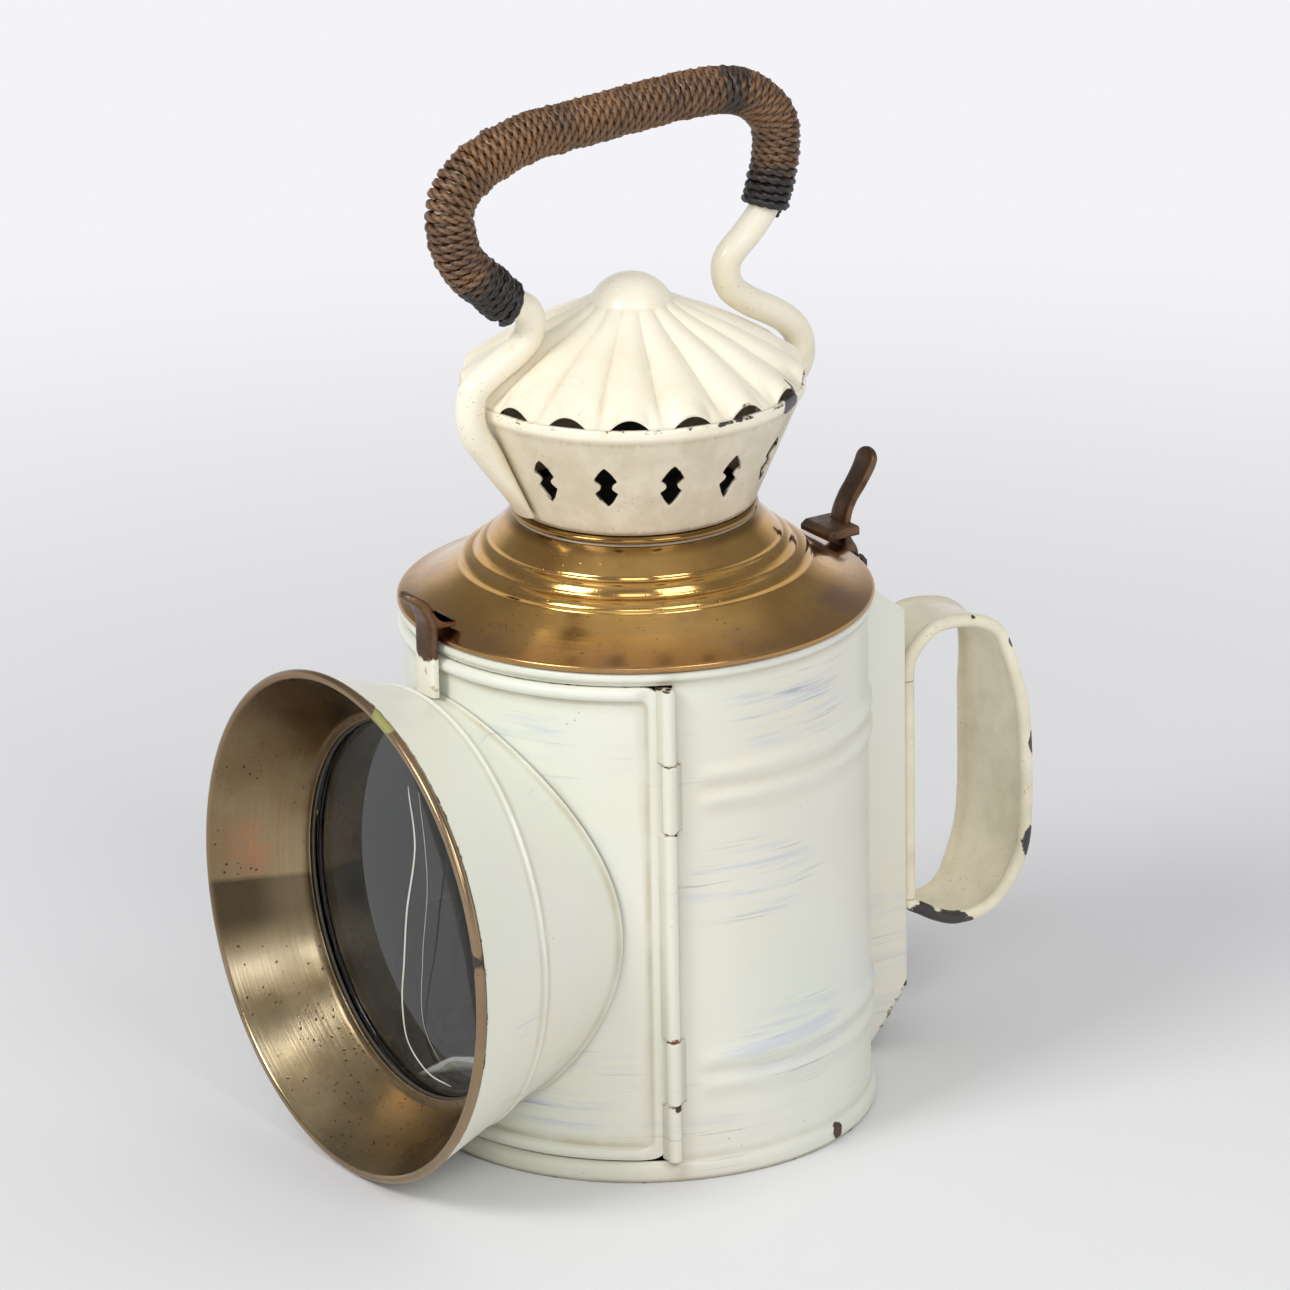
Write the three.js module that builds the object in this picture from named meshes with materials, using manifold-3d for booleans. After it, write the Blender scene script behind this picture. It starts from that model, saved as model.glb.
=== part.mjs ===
// A hand signal lamp, in millimetres. +Z is up, the lens looks along -Y, and the origin is the
// centre of the underside of the base. Angles round the lamp are in degrees from +X.
import * as THREE from "three";
import { mergeVertices } from "three/addons/utils/BufferGeometryUtils.js";
import Module from "manifold-3d";

const wasm = await Module();
wasm.setup();

// Driving sizes.
const bodyRadius = 70;
const bodyHeight = 162.7;
const sheet = 1.2; // painted sheet of the body, the door, the hood and the socket
const brassSheet = 1; // spun brass and the chimney's sheet
const thinSheet = 0.8; // liner and inner tubes
const lensHeight = 79.1; // height of the lens's axis and of the flame
const hoodDepth = 106.2; // from the lamp's axis to the plane of the hood's rim
const rodRadius = 4.5; // bail rod

// Clearances and the overrun that cuts share.
const seatGap = 0.3; // between neighbours that rest on each other
const runGap = 0.35; // between pieces that turn past each other
const overrun = 4; // how far a cutting tool reaches past what it cuts
const mergeDistance = 0.0001;

// Counts of flat faces.
const bodySteps = 40;
const roundSteps = 28;
const innerSteps = 22;
const smallSteps = 16;
const pinSteps = 10;

// Angles.
const fullTurn = 360;
const doorFrom = 207.7;
const doorTo = 333;
const hingeAngle = 334.2;
const openingFrom = 206.5;
const openingTo = 335.4;
const latchBeadAngle = 208.9; // the middle of the bead on the door's free edge
const webFrom = 331.4;
const webTo = 334.1;

// The hood is a straight cone round the lens's axis.
const hoodSlope = 0.367;
const hoodThroatDepth = 44;
const hoodThroat = 55.5; // outer radius there, where it meets the door's sides
const hoodRadius = (depth) => hoodThroat + (depth - hoodThroatDepth) * hoodSlope;

// The chimney cone and the brim of the brass shoulder.
const neckRadius = 36.4;
const coneRimRadius = 52;
const coneHeight = 37.6;
const coneRimHeight = 4.8; // upright band at the cone's top
const brimOverhang = 2.1;
const brimRadius = bodyRadius + brimOverhang;
const brimThickness = 2;
const brimBottom = bodyHeight + seatGap;
const brimTop = brimBottom + brimThickness;
const shoulderRise = 28.4;
const shoulderRun = brimRadius - neckRadius;
const neckHeight = brimTop + shoulderRise;
const chimneyBase = neckHeight + seatGap;
// The shoulder's line, in shares of the way in from the brim and up to the neck.
const brimShares = [[0, 0], [0.14, 0.055], [0.227, 0.112]];
const shoulderShares = [
  [0.24, 0.12], [0.34, 0.185], [0.53, 0.35], [0.535, 0.39], [0.565, 0.437], [0.61, 0.46], [0.66, 0.47],
  [0.675, 0.51], [0.7, 0.56], [0.735, 0.59], [0.78, 0.605], [0.79, 0.64], [0.95, 0.85], [1.005, 0.91],
];

const paint = { color: 0xdfe3d6, roughness: 0.45, metalness: 0.1 };
const cream = { color: 0xe8e2cd, roughness: 0.5, metalness: 0.1 };
const handlePaint = { color: 0xdcd6b9, roughness: 0.5, metalness: 0.1 };
const brass = { color: 0x9c7a3a, roughness: 0.35, metalness: 0.95 };
const linerBrass = { color: 0x8d7b5c, roughness: 0.3, metalness: 0.95 };
const bronze = { color: 0x4c3a2c, roughness: 0.6, metalness: 0.6 };
const darkSteel = { color: 0x3c3a36, roughness: 0.6, metalness: 0.8 };
const clearGlass = { color: 0xb9c1c4, roughness: 0.05, metalness: 0 };
const redTint = { color: 0x8e1418, roughness: 0.1, metalness: 0 };
const greenTint = { color: 0x0f5e4a, roughness: 0.1, metalness: 0 };
const cord = { color: 0x5e3f22, roughness: 0.85, metalness: 0 };
const cotton = { color: 0xcfc6b0, roughness: 0.95, metalness: 0 };
const packing = { color: 0x2a2724, roughness: 0.9, metalness: 0 };

const radians = (degrees) => (degrees * Math.PI) / 180;

// A share of one table's first column read as a smooth line between its points.
function readShares(table, at) {
  for (let i = 1; i < table.length; i++) {
    const [x0, y0] = table[i - 1];
    const [x1, y1] = table[i];
    if (at <= x1) return y0 + ((y1 - y0) * (at - x0)) / (x1 - x0);
  }
  return table[table.length - 1][1];
}
const polar = (radius, degrees, z) =>
  new THREE.Vector3(radius * Math.cos(radians(degrees)), radius * Math.sin(radians(degrees)), z);

// Shared vertices merged, and triangles without area dropped.
function tidied(geometry) {
  const bare = geometry.clone();
  bare.deleteAttribute("normal");
  bare.deleteAttribute("uv");
  const merged = mergeVertices(bare, mergeDistance);
  const corners = merged.index.array;
  const kept = [];
  for (let i = 0; i < corners.length; i += 3) {
    const [a, b, c] = [corners[i], corners[i + 1], corners[i + 2]];
    if (a !== b && b !== c && c !== a) kept.push(a, b, c);
  }
  merged.setIndex(kept);
  return merged;
}

// A closed geometry as a solid, turned right side out.
function toSolid(geometry) {
  const merged = tidied(geometry);
  const vertProperties = new Float32Array(merged.attributes.position.array);
  const triVerts = new Uint32Array(merged.index.array);
  const made = new wasm.Manifold(new wasm.Mesh({ numProp: 3, vertProperties, triVerts }));
  if (made.volume() > 0) return made;
  for (let i = 0; i < triVerts.length; i += 3) {
    [triVerts[i + 1], triVerts[i + 2]] = [triVerts[i + 2], triVerts[i + 1]];
  }
  return new wasm.Manifold(new wasm.Mesh({ numProp: 3, vertProperties, triVerts }));
}

function toGeometry(solid) {
  const mesh = solid.getMesh();
  const geometry = new THREE.BufferGeometry();
  geometry.setAttribute("position", new THREE.BufferAttribute(new Float32Array(mesh.vertProperties), 3));
  geometry.setIndex(new THREE.BufferAttribute(new Uint32Array(mesh.triVerts), 1));
  return geometry;
}

const join = (...geometries) =>
  toGeometry(geometries.map(toSolid).reduce((whole, next) => whole.add(next)));
const cut = (geometry, ...tools) =>
  toGeometry(tools.map(toSolid).reduce((whole, tool) => whole.subtract(tool), toSolid(geometry)));

// A skin through rings of points, closed on itself or capped at its two ends.
function loft(rings, endOutline) {
  const sides = rings[0].length;
  const spans = endOutline ? rings.length - 1 : rings.length;
  const index = [];
  for (let i = 0; i < spans; i++) {
    const here = i * sides;
    const there = ((i + 1) % rings.length) * sides;
    for (let j = 0; j < sides; j++) {
      const k = (j + 1) % sides;
      index.push(here + j, there + j, there + k, here + j, there + k, here + k);
    }
  }
  if (endOutline) {
    const last = (rings.length - 1) * sides;
    const forward = THREE.ShapeUtils.area(endOutline) > 0;
    for (const face of THREE.ShapeUtils.triangulateShape(endOutline, [])) {
      const [a, b, c] = forward ? face : [face[0], face[2], face[1]];
      index.push(a, b, c, last + a, last + c, last + b);
    }
  }
  const geometry = new THREE.BufferGeometry();
  const position = rings.flat().flatMap((p) => [p.x, p.y, p.z]);
  geometry.setAttribute("position", new THREE.Float32BufferAttribute(position, 3));
  geometry.setIndex(index);
  return toGeometry(toSolid(geometry));
}

// A profile of radius and height swept round +Z from one angle to another.
function sector(profileAt, from, to, steps) {
  const whole = to - from >= fullTurn;
  const rings = [];
  for (let i = 0; i < (whole ? steps : steps + 1); i++) {
    const angle = from + ((to - from) * i) / steps;
    rings.push(profileAt(angle).map(([radius, z]) => polar(radius, angle, z)));
  }
  const outline = profileAt(from).map(([radius, z]) => new THREE.Vector2(radius, z));
  return loft(rings, whole ? null : outline);
}

// A full turn of a profile, which starts and ends on the axis or else is closed here.
function revolve(profile, steps) {
  const onAxis = profile[0][0] === 0 && profile[profile.length - 1][0] === 0;
  const points = (onAxis ? profile : [...profile, profile[0]]).map(([r, z]) => new THREE.Vector2(r, z));
  return toGeometry(toSolid(new THREE.LatheGeometry(points, steps).rotateX(Math.PI / 2)));
}

// The same about the lens's axis: a profile of radius and depth out from the lamp's axis.
const revolveLens = (profile, steps) =>
  revolve(profile, steps)
    .rotateX(Math.PI / 2)
    .translate(0, 0, lensHeight);

// A plate across the lamp: an outline of y and z with its width along X, centred.
function plate(outline, width) {
  const shape = new THREE.Shape(outline.map(([y, z]) => new THREE.Vector2(y, z)));
  const turn = new THREE.Matrix4().makeBasis(
    new THREE.Vector3(0, 1, 0),
    new THREE.Vector3(0, 0, 1),
    new THREE.Vector3(1, 0, 0),
  );
  return new THREE.ExtrudeGeometry(shape, { depth: width, bevelEnabled: false })
    .applyMatrix4(turn)
    .translate(-width / 2, 0, 0);
}

const upright = (radius, from, to, steps) =>
  new THREE.CylinderGeometry(radius, radius, to - from, steps)
    .rotateX(Math.PI / 2)
    .translate(0, 0, (from + to) / 2);
const crosswise = (radius, from, to, steps) =>
  new THREE.CylinderGeometry(radius, radius, to - from, steps)
    .rotateZ(Math.PI / 2)
    .translate((from + to) / 2, 0, 0);
const box = (x, y, z) =>
  new THREE.BoxGeometry(x[1] - x[0], y[1] - y[0], z[1] - z[0]).translate(
    (x[0] + x[1]) / 2,
    (y[0] + y[1]) / 2,
    (z[0] + z[1]) / 2,
  );

function piece(name, geometry, look) {
  const shown = geometry.index ? geometry.toNonIndexed() : geometry.clone();
  shown.computeVertexNormals();
  const mesh = new THREE.Mesh(shown, new THREE.MeshStandardMaterial(look));
  mesh.name = name;
  return mesh;
}

// Body shell: a rolled bead at the base and at the top, and two double swages that run from beside
// the hinge round the back, and sink into the sheet beside the socket.
const baseBead = 1.5;
const baseBeadHeight = 6.6;
const topBead = 1.4;
const topBeadHeight = 3.5;
const swage = 1.2;
const swageWidth = 16.4;
const swageHeightShares = [0.16103, 0.71911]; // of the body's height
const swageHeights = swageHeightShares.map((share) => bodyHeight * share);
const swageFrom = 339;
const swageBreak = 76; // the socket breaks the swages from here to as far past the back
const beadShares = [[0, 0.45], [0.25, 1], [0.7, 1], [1, 0]];
const swageShares = [[0, 0], [0.22, 1], [0.5, 0.1], [0.78, 1], [1, 0]];
const bodyInner = bodyRadius - sheet;

function bodyProfile(angle) {
  const turned = (angle + fullTurn) % fullTurn;
  const onSide = turned >= swageFrom || turned <= swageBreak;
  const onFarSide = turned >= fullTurn / 2 - swageBreak && turned <= fullTurn * 1.5 - swageFrom;
  const rise = onSide || onFarSide ? swage : 0;
  const outer = beadShares.map(([z, r]) => [bodyRadius + baseBead * r, baseBeadHeight * z]);
  for (const height of swageHeights) {
    for (const [z, r] of swageShares) outer.push([bodyRadius + rise * r, height + swageWidth * z]);
  }
  for (const [z, r] of [...beadShares].reverse()) {
    outer.push([bodyRadius + topBead * r, bodyHeight - topBeadHeight * z]);
  }
  return [...outer, [bodyInner, bodyHeight], [bodyInner, 0]];
}

// Hinge: the pin's axis stands just outside the body's surface, in line with the door's edge.
const barrelRadius = 2;
const pinRadius = 0.9;
const pinBore = 1.25;
const hingeRadius = bodyRadius + barrelRadius + runGap;
const doorGap = 0.4; // door to the body's opening, up and down
const doorStep = 0.6; // door's edge past the body's rolled beads
const doorBottom = baseBeadHeight + doorStep;
const doorTop = bodyHeight - topBeadHeight - doorStep * 2;
const knuckleShares = [[0.15796, 0.28334], [0.69207, 0.82237]]; // of the body's height
const knuckleHeights = knuckleShares.map((ends) => ends.map((share) => bodyHeight * share));
const knuckleLeaf = 1.2;
const leafReach = 6.5; // degrees that a knuckle's leaf runs behind the body's sheet
const hingePoint = polar(hingeRadius, hingeAngle, 0);
const atHinge = (geometry) => geometry.translate(hingePoint.x, hingePoint.y, 0);

const opening = sector(
  () => [
    [bodyInner - overrun, doorBottom - doorGap],
    [bodyRadius + overrun, doorBottom - doorGap],
    [bodyRadius + overrun, doorTop + doorGap],
    [bodyInner - overrun, doorTop + doorGap],
  ],
  openingFrom,
  openingTo,
  roundSteps,
);
const hingeNotch = atHinge(
  upright(barrelRadius + runGap, baseBeadHeight / 2, doorBottom + overrun, pinSteps * 2),
);
const bodyShell = cut(sector(bodyProfile, 0, fullTurn, bodySteps), opening, hingeNotch);

function knuckle(from, to) {
  const leafOuter = bodyInner - seatGap;
  const leafInner = leafOuter - knuckleLeaf;
  const half = knuckleLeaf / 2;
  const barrel = atHinge(upright(barrelRadius, from, to, pinSteps * 2));
  const web = box([leafInner + half, hingeRadius], [-half, half], [from, to]).rotateZ(radians(hingeAngle));
  const leaf = sector(
    () => [[leafInner, from], [leafOuter, from], [leafOuter, to], [leafInner, to]],
    hingeAngle,
    hingeAngle + leafReach,
    2,
  );
  return cut(
    join(barrel, web, leaf),
    atHinge(upright(pinBore, from - overrun, to + overrun, pinSteps)),
  );
}

// Door: a curved panel with a bead rolled round its edge. The bead on the hinge's side is bored for
// the pin between the body's knuckles.
const doorBead = 2.15;
const doorInner = bodyInner;
const beadSteps = 4;

function doorProfile() {
  const rim = (centre) =>
    Array.from({ length: beadSteps + 1 }, (_, i) => {
      const angle = Math.PI / 2 - (Math.PI * i) / beadSteps;
      return [bodyRadius + doorBead * Math.cos(angle), centre + doorBead * Math.sin(angle)];
    });
  return [
    [doorInner, doorBottom],
    [doorInner, doorTop],
    ...rim(doorTop - doorBead),
    ...rim(doorBottom + doorBead),
  ];
}

const doorSteps = 18;
const latchBead = upright(doorBead, doorBottom + doorBead, doorTop - doorBead, pinSteps).translate(
  bodyRadius * Math.cos(radians(latchBeadAngle)),
  bodyRadius * Math.sin(radians(latchBeadAngle)),
  0,
);
const hingeRuns = [
  [doorBottom, knuckleHeights[0][0] - runGap],
  [knuckleHeights[0][1] + runGap, knuckleHeights[1][0] - runGap],
  [knuckleHeights[1][1] + runGap, doorTop],
];
const hingeBeads = hingeRuns.map(([from, to]) => atHinge(upright(barrelRadius, from, to, pinSteps)));
const hingeWebs = hingeRuns.map(([from, to]) =>
  sector(
    () => [[doorInner, from], [hingeRadius, from], [hingeRadius, to], [doorInner, to]],
    webFrom,
    webTo,
    1,
  ),
);
const lightHole = revolveLens(
  [
    [0, bodyRadius / 3],
    [hoodRadius(bodyRadius / 3) - sheet, bodyRadius / 3],
    [hoodRadius(bodyRadius + overrun * 2) - sheet, bodyRadius + overrun * 2],
    [0, bodyRadius + overrun * 2],
  ],
  roundSteps,
);
const doorPanel = cut(
  join(sector(doorProfile, doorFrom, doorTo, doorSteps), latchBead, ...hingeBeads, ...hingeWebs),
  lightHole,
  atHinge(upright(pinBore, doorBottom - overrun, doorTop + overrun, pinSteps)),
);

// Hood: a straight cone fitted to the door's round face, with a seam ring, and its brass liner with
// a rolled rim in front of it.
const seamDepth = 78;
const seamHeight = 0.9;
const seamWidth = 2.6;
const rimRoll = 1.5; // radius of the rolled rim
const rimRadius = hoodRadius(hoodDepth) - rimRoll + seatGap;
const hoodEnd = hoodDepth - rimRoll - seatGap;
const hoodStart = bodyRadius / 2;
const hoodShell = cut(
  revolveLens(
    [
      [hoodRadius(hoodStart), hoodStart],
      [hoodRadius(seamDepth) - hoodSlope * seamWidth / 2, seamDepth - seamWidth / 2],
      [hoodRadius(seamDepth) + seamHeight, seamDepth - seamWidth / 4],
      [hoodRadius(seamDepth) + seamHeight, seamDepth + seamWidth / 4],
      [hoodRadius(seamDepth) + hoodSlope * seamWidth / 2, seamDepth + seamWidth / 2],
      [hoodRadius(hoodEnd), hoodEnd],
      [hoodRadius(hoodEnd) - sheet, hoodEnd],
      [hoodRadius(hoodStart) - sheet, hoodStart],
    ],
    roundSteps,
  ),
  upright(bodyRadius + seatGap, -overrun, bodyHeight, bodySteps),
);

// Lens with a flat bevelled edge, between two gaskets in a turned cell, and held by the liner.
const lensRadius = 59.7;
const lensBack = 75;
const lensEdge = 5.2; // thickness at the edge
const lensBulge = 6.3; // how far the face stands out from the edge
const lensFlat = 3.2; // width of the flat round the edge
const gasketWidth = 3.6;
const gasketThickness = 0.8;
const cellBack = lensBack - seatGap * 2 - gasketThickness - sheet;
const cellInner = lensRadius + sheet;
const lensFront = lensBack + lensEdge;
const linerStart = lensFront + seatGap * 2 + gasketThickness;
const linerThroat = lensRadius + sheet + seatGap;
const linerLip = lensRadius - sheet;
const bulgeShares = [[1, 0], [0.75, 0.44], [0.5, 0.75], [0.25, 0.94], [0, 1]];
const lens = revolveLens(
  [
    [0, lensBack],
    [lensRadius, lensBack],
    [lensRadius, lensFront],
    ...bulgeShares.map(([r, d]) => [(lensRadius - lensFlat) * r, lensFront + lensBulge * d]),
  ],
  roundSteps,
);
const gasket = (from) =>
  revolveLens(
    [
      [lensRadius - lensFlat + seatGap, from],
      [lensRadius + seatGap, from],
      [lensRadius + seatGap, from + gasketThickness],
      [lensRadius - lensFlat + seatGap, from + gasketThickness],
    ],
    smallSteps,
  );
const lensCell = revolveLens(
  [
    [lensRadius - gasketWidth, cellBack],
    [hoodRadius(cellBack) - sheet - seatGap, cellBack],
    [hoodRadius(cellBack) - sheet - seatGap, cellBack + sheet],
    [cellInner + sheet, cellBack + sheet],
    [cellInner + sheet, linerStart - seatGap],
    [cellInner, linerStart - seatGap],
    [cellInner, cellBack + sheet],
    [lensRadius - gasketWidth, cellBack + sheet],
  ],
  roundSteps,
);
const rimShares = [[-0.35, -0.95], [0.6, -0.8], [1, 0], [0.7, 0.7], [0, 1], [-0.8, 0.6]];
const hoodLiner = revolveLens(
  [
    [linerLip, linerStart],
    [linerThroat + thinSheet, linerStart],
    ...rimShares.map(([r, d]) => [rimRadius + rimRoll * r, hoodDepth + rimRoll * d]),
    [linerThroat, linerStart + thinSheet],
    [linerLip, linerStart + thinSheet],
  ],
  roundSteps,
);

// Front clip: a bronze hook on a strap between the hood and the door's top. Its foot lies over the
// brim, and its end curls out as a thumb lever. The outline is in distance out from the axis.
const clipWidth = 10;
const clipThickness = 3;
const clipInner = bodyRadius + doorBead + seatGap * 2;
const clipOuter = clipInner + clipThickness;
const footClearance = 0.9; // beside a clip, and under its foot above the brass
const clipReach = 8.4; // lever's end past the strap
const footReach = 5.9; // foot's end inward of the strap
const footThickness = 1.8; // at its end, and at its heel
const heelThickness = 2.4;
const clipRise = 12.5; // lever's end above the foot
const hoodClearance = 0.36; // under the strap, above the hood
const brimLine = (radius) => brimTop + shoulderRise * readShares(brimShares, (brimRadius - radius) / shoulderRun);
const footHeight = brimLine(clipInner - footReach) + seatGap + footClearance;
const leverShares = [[0.05, 0], [0.32, 0.37], [0.68, 0.68], [1, 0.87], [0.9, 1], [0.45, 0.82], [0, 0.5]];
const hoodTopAt = (depth) => lensHeight + hoodRadius(depth) + hoodClearance;
const clipOutline = [
  [clipInner, hoodTopAt(clipInner)],
  [clipOuter, hoodTopAt(clipOuter)],
  [clipOuter, footHeight],
  ...leverShares.map(([s, z]) => [clipOuter + clipReach * s, footHeight + clipRise * z]),
  [clipInner + clipThickness / 3, footHeight + heelThickness],
  [clipInner - footReach, footHeight + footThickness],
  [clipInner - footReach, footHeight],
  [clipInner, footHeight],
];
const frontClip = plate(clipOutline.map(([s, z]) => [-s, z]), clipWidth);

// Rear socket: a folded box on the back, closed at its sloped top and open at its slant foot, where
// it slips over a bracket.
const socketHalf = 13.5;
const socketReach = 20.3; // how far the socket stands out from the body
const socketBack = bodyRadius + socketReach;
const socketDrop = 20.4; // low end of its sloped top, below the body's top
const socketTop = bodyHeight - socketDrop;
const socketFoot = 19.8;
const socketSlope = 0.773; // fall of the top per length outward
const heelReach = 5.6;
const socketHeel = bodyRadius + heelReach; // where the slant foot ends, near the body
const socketHeelHeight = socketFoot / 10;
const slopeAt = (y) => socketTop + (socketBack - y) * socketSlope;
const socketRoot = bodyRadius - overrun;
const pocketBack = socketBack - sheet;
const slopeDrop = sheet * Math.hypot(1, socketSlope);
const rearSocket = cut(
  plate(
    [
      [socketRoot, slopeAt(socketRoot)],
      [socketBack, socketTop],
      [socketBack, socketFoot],
      [socketHeel, socketHeelHeight],
      [socketRoot, socketHeelHeight],
    ],
    socketHalf * 2,
  ),
  plate(
    [
      [socketRoot - overrun, slopeAt(socketRoot - overrun) - slopeDrop],
      [pocketBack, slopeAt(pocketBack) - slopeDrop],
      [pocketBack, -overrun],
      [socketRoot - overrun, -overrun],
    ],
    (socketHalf - sheet) * 2,
  ),
  upright(bodyRadius + seatGap, -overrun, bodyHeight + overrun, bodySteps * 2),
  upright(bodyRadius + baseBead + seatGap, -overrun, baseBeadHeight + seatGap, bodySteps * 2),
  upright(
    bodyRadius + topBead + seatGap,
    bodyHeight - topBeadHeight - seatGap,
    bodyHeight + overrun,
    bodySteps * 2,
  ),
);

// Rear handle: a strap whose two edges are wired, bent to a D and wider at its grip, and the
// straight strip behind it on the socket.
const wireRadius = 2.1;
const strapHalf = 12; // half width at the ends
const gripHalf = 18.8; // half width at the grip
const webHalf = 0.8; // half thickness between the wired edges
const handleReach = 44.1;
const handleLift = 14.2; // handle's lowest line above the socket's foot
const handleBottom = socketFoot + handleLift;
const handleHeight = 102.1;
const handleRoot = socketBack + seatGap;
const handleShares = [
  [0, 0.826], [0, 0.848], [0.025, 0.9], [0.102, 0.945], [0.197, 0.979], [0.29, 0.996], [0.395, 1], [0.528, 0.995],
  [0.671, 0.98], [0.766, 0.96], [0.862, 0.923], [0.92, 0.86], [0.952, 0.8], [0.978, 0.725], [0.993, 0.637],
  [1, 0.56], [0.982, 0.242], [0.905, 0.14], [0.762, 0.045], [0.617, 0.008], [0.472, 0], [0.385, 0.004],
  [0.234, 0.031], [0.12, 0.06], [0.025, 0.085], [0, 0.102], [0, 0.118],
];
const handleTop = handleBottom + handleHeight * handleShares[0][1];
const handleFoot = handleBottom + handleHeight * handleShares[handleShares.length - 1][1];
const widenShares = [[0, 0], [0.3, 0.12], [0.42, 0.9], [0.5, 1], [0.66, 1], [0.74, 0.8], [0.86, 0.15], [1, 0]];
const wireShares = [[0, 1], [0.71, 0.71], [1, 0], [0.71, -0.71], [0, -1]];

// The strap's section: a thin web between two round wired edges, across and through the strap.
function strapSection(half) {
  const edge = half - wireRadius;
  const right = wireShares.map(([u, v]) => [edge + wireRadius * u, wireRadius * v]);
  const left = wireShares.map(([u, v]) => [-edge - wireRadius * u, -wireRadius * v]);
  const inset = edge - wireRadius;
  return [[inset, webHalf], ...right, [inset, -webHalf], [-inset, -webHalf], ...left, [-inset, webHalf]];
}

const handleSteps = 22;
const handleCurve = new THREE.CatmullRomCurve3(
  handleShares.map(
    ([y, z]) => new THREE.Vector3(0, handleRoot + handleReach * y, handleBottom + handleHeight * z),
  ),
  false,
  "centripetal",
);
const handleRings = Array.from({ length: handleSteps + 1 }, (_, i) => {
  const share = i / handleSteps;
  const outer = handleCurve.getPointAt(share);
  const along = handleCurve.getTangentAt(share);
  const outward = new THREE.Vector3(0, -along.z, along.y);
  const centre = outer.addScaledVector(outward, -wireRadius);
  const half = strapHalf + (gripHalf - strapHalf) * readShares(widenShares, share);
  return strapSection(half).map(
    ([u, v]) => new THREE.Vector3(centre.x + u, centre.y + outward.y * v, centre.z + outward.z * v),
  );
});
const sectionOutline = strapSection(strapHalf).map(([u, v]) => new THREE.Vector2(u, v));
const handleStrap = loft(handleRings, sectionOutline);
const stripRing = (z) =>
  strapSection(strapHalf).map(([u, v]) => new THREE.Vector3(u, handleRoot + wireRadius + v, z));
const handleBacking = loft([stripRing(handleFoot + seatGap), stripRing(handleTop - seatGap)], sectionOutline);

// Rear catch: a tall bronze lever that turns on a pin above the socket, with a broad foot over the
// brim. Its bracket stands on the socket's sloped top.
const catchOut = 7; // the pin outside the body's surface, and below its top
const catchDrop = 3.7;
const catchPivot = [bodyRadius + catchOut, bodyHeight - catchDrop];
const catchPin = 1.2;
const catchBore = catchPin + seatGap;
const catchEye = 2.9;
const catchInset = 0.06; // the lever's side edges inside its round eye
const catchWidth = 9;
const catchReach = 14.2; // lever's end out from the foot's root
const rearFootRoot = brimRadius + footClearance;
const rearFootReach = 7.7; // foot's end inward of the lever's root
const rearFootEnd = rearFootRoot - rearFootReach;
const rearFootHeight = brimLine(rearFootEnd) + footClearance / 2;
const catchRise = 26.3; // lever's end above the foot
const rearFootThickness = 3.2;
const rearFootWidth = 15.5;
const catchShares = [
  [0.02, 0.02], [0.05, 0.2], [0.2, 0.38], [0.44, 0.55], [0.65, 0.73], [0.79, 0.93], [0.92, 1], [1, 0.93],
  [0.91, 0.76], [0.7, 0.56], [0.48, 0.38], [0.3, 0.22], [0.22, 0.06],
];
const catchStem = catchShares.map(([y, z]) => [
  rearFootRoot + catchReach * y,
  rearFootHeight + catchRise * z,
]);
const eye = (radius) =>
  crosswise(radius, -socketHalf, socketHalf, smallSteps).translate(0, catchPivot[0], catchPivot[1]);
const rearCatch = cut(
  join(
    plate(
      [
        ...catchStem,
        [rearFootRoot + rearFootThickness, rearFootHeight - catchEye],
        [catchPivot[0] + catchEye - catchInset, catchPivot[1]],
        [catchPivot[0] - catchEye + catchInset, catchPivot[1]],
        [rearFootRoot, rearFootHeight - catchEye],
      ],
      catchWidth,
    ),
    crosswise(catchEye, -catchWidth / 2, catchWidth / 2, smallSteps).translate(
      0,
      catchPivot[0],
      catchPivot[1],
    ),
    box(
      [-rearFootWidth / 2, rearFootWidth / 2],
      [rearFootEnd, rearFootRoot + rearFootThickness],
      [rearFootHeight, rearFootHeight + rearFootThickness],
    ),
  ),
  eye(catchBore),
);
const cheek = 1.4;
const cheekInner = catchWidth / 2 + runGap * 2;
const cheekOuter = cheekInner + cheek;
const bracketInner = bodyRadius + topBead + footClearance;
const bracketOuter = catchPivot[0] + catchEye + runGap;
const bracketRise = 2; // bracket's top above the pin, and half its flat top
const bracketTopHalf = 1.7;
const bracketTop = catchPivot[1] + bracketRise;
const bracketLine = (y, lift) => [y, slopeAt(y) + seatGap * Math.hypot(1, socketSlope) + lift];
const cheekPlate = plate(
  [
    bracketLine(bracketInner, 0),
    bracketLine(bracketOuter, 0),
    [bracketOuter, catchPivot[1]],
    [catchPivot[0] + bracketTopHalf, bracketTop],
    [catchPivot[0] - bracketTopHalf, bracketTop],
    [bracketInner, catchPivot[1]],
  ],
  cheekOuter * 2,
);
const bracketSpace = plate(
  [
    bracketLine(bracketInner - overrun, slopeDrop),
    bracketLine(bracketOuter + overrun, slopeDrop),
    [bracketOuter + overrun, bracketTop + overrun],
    [bracketInner - overrun, bracketTop + overrun],
  ],
  cheekInner * 2,
);
const catchBracket = cut(cheekPlate, bracketSpace, eye(catchBore));

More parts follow.
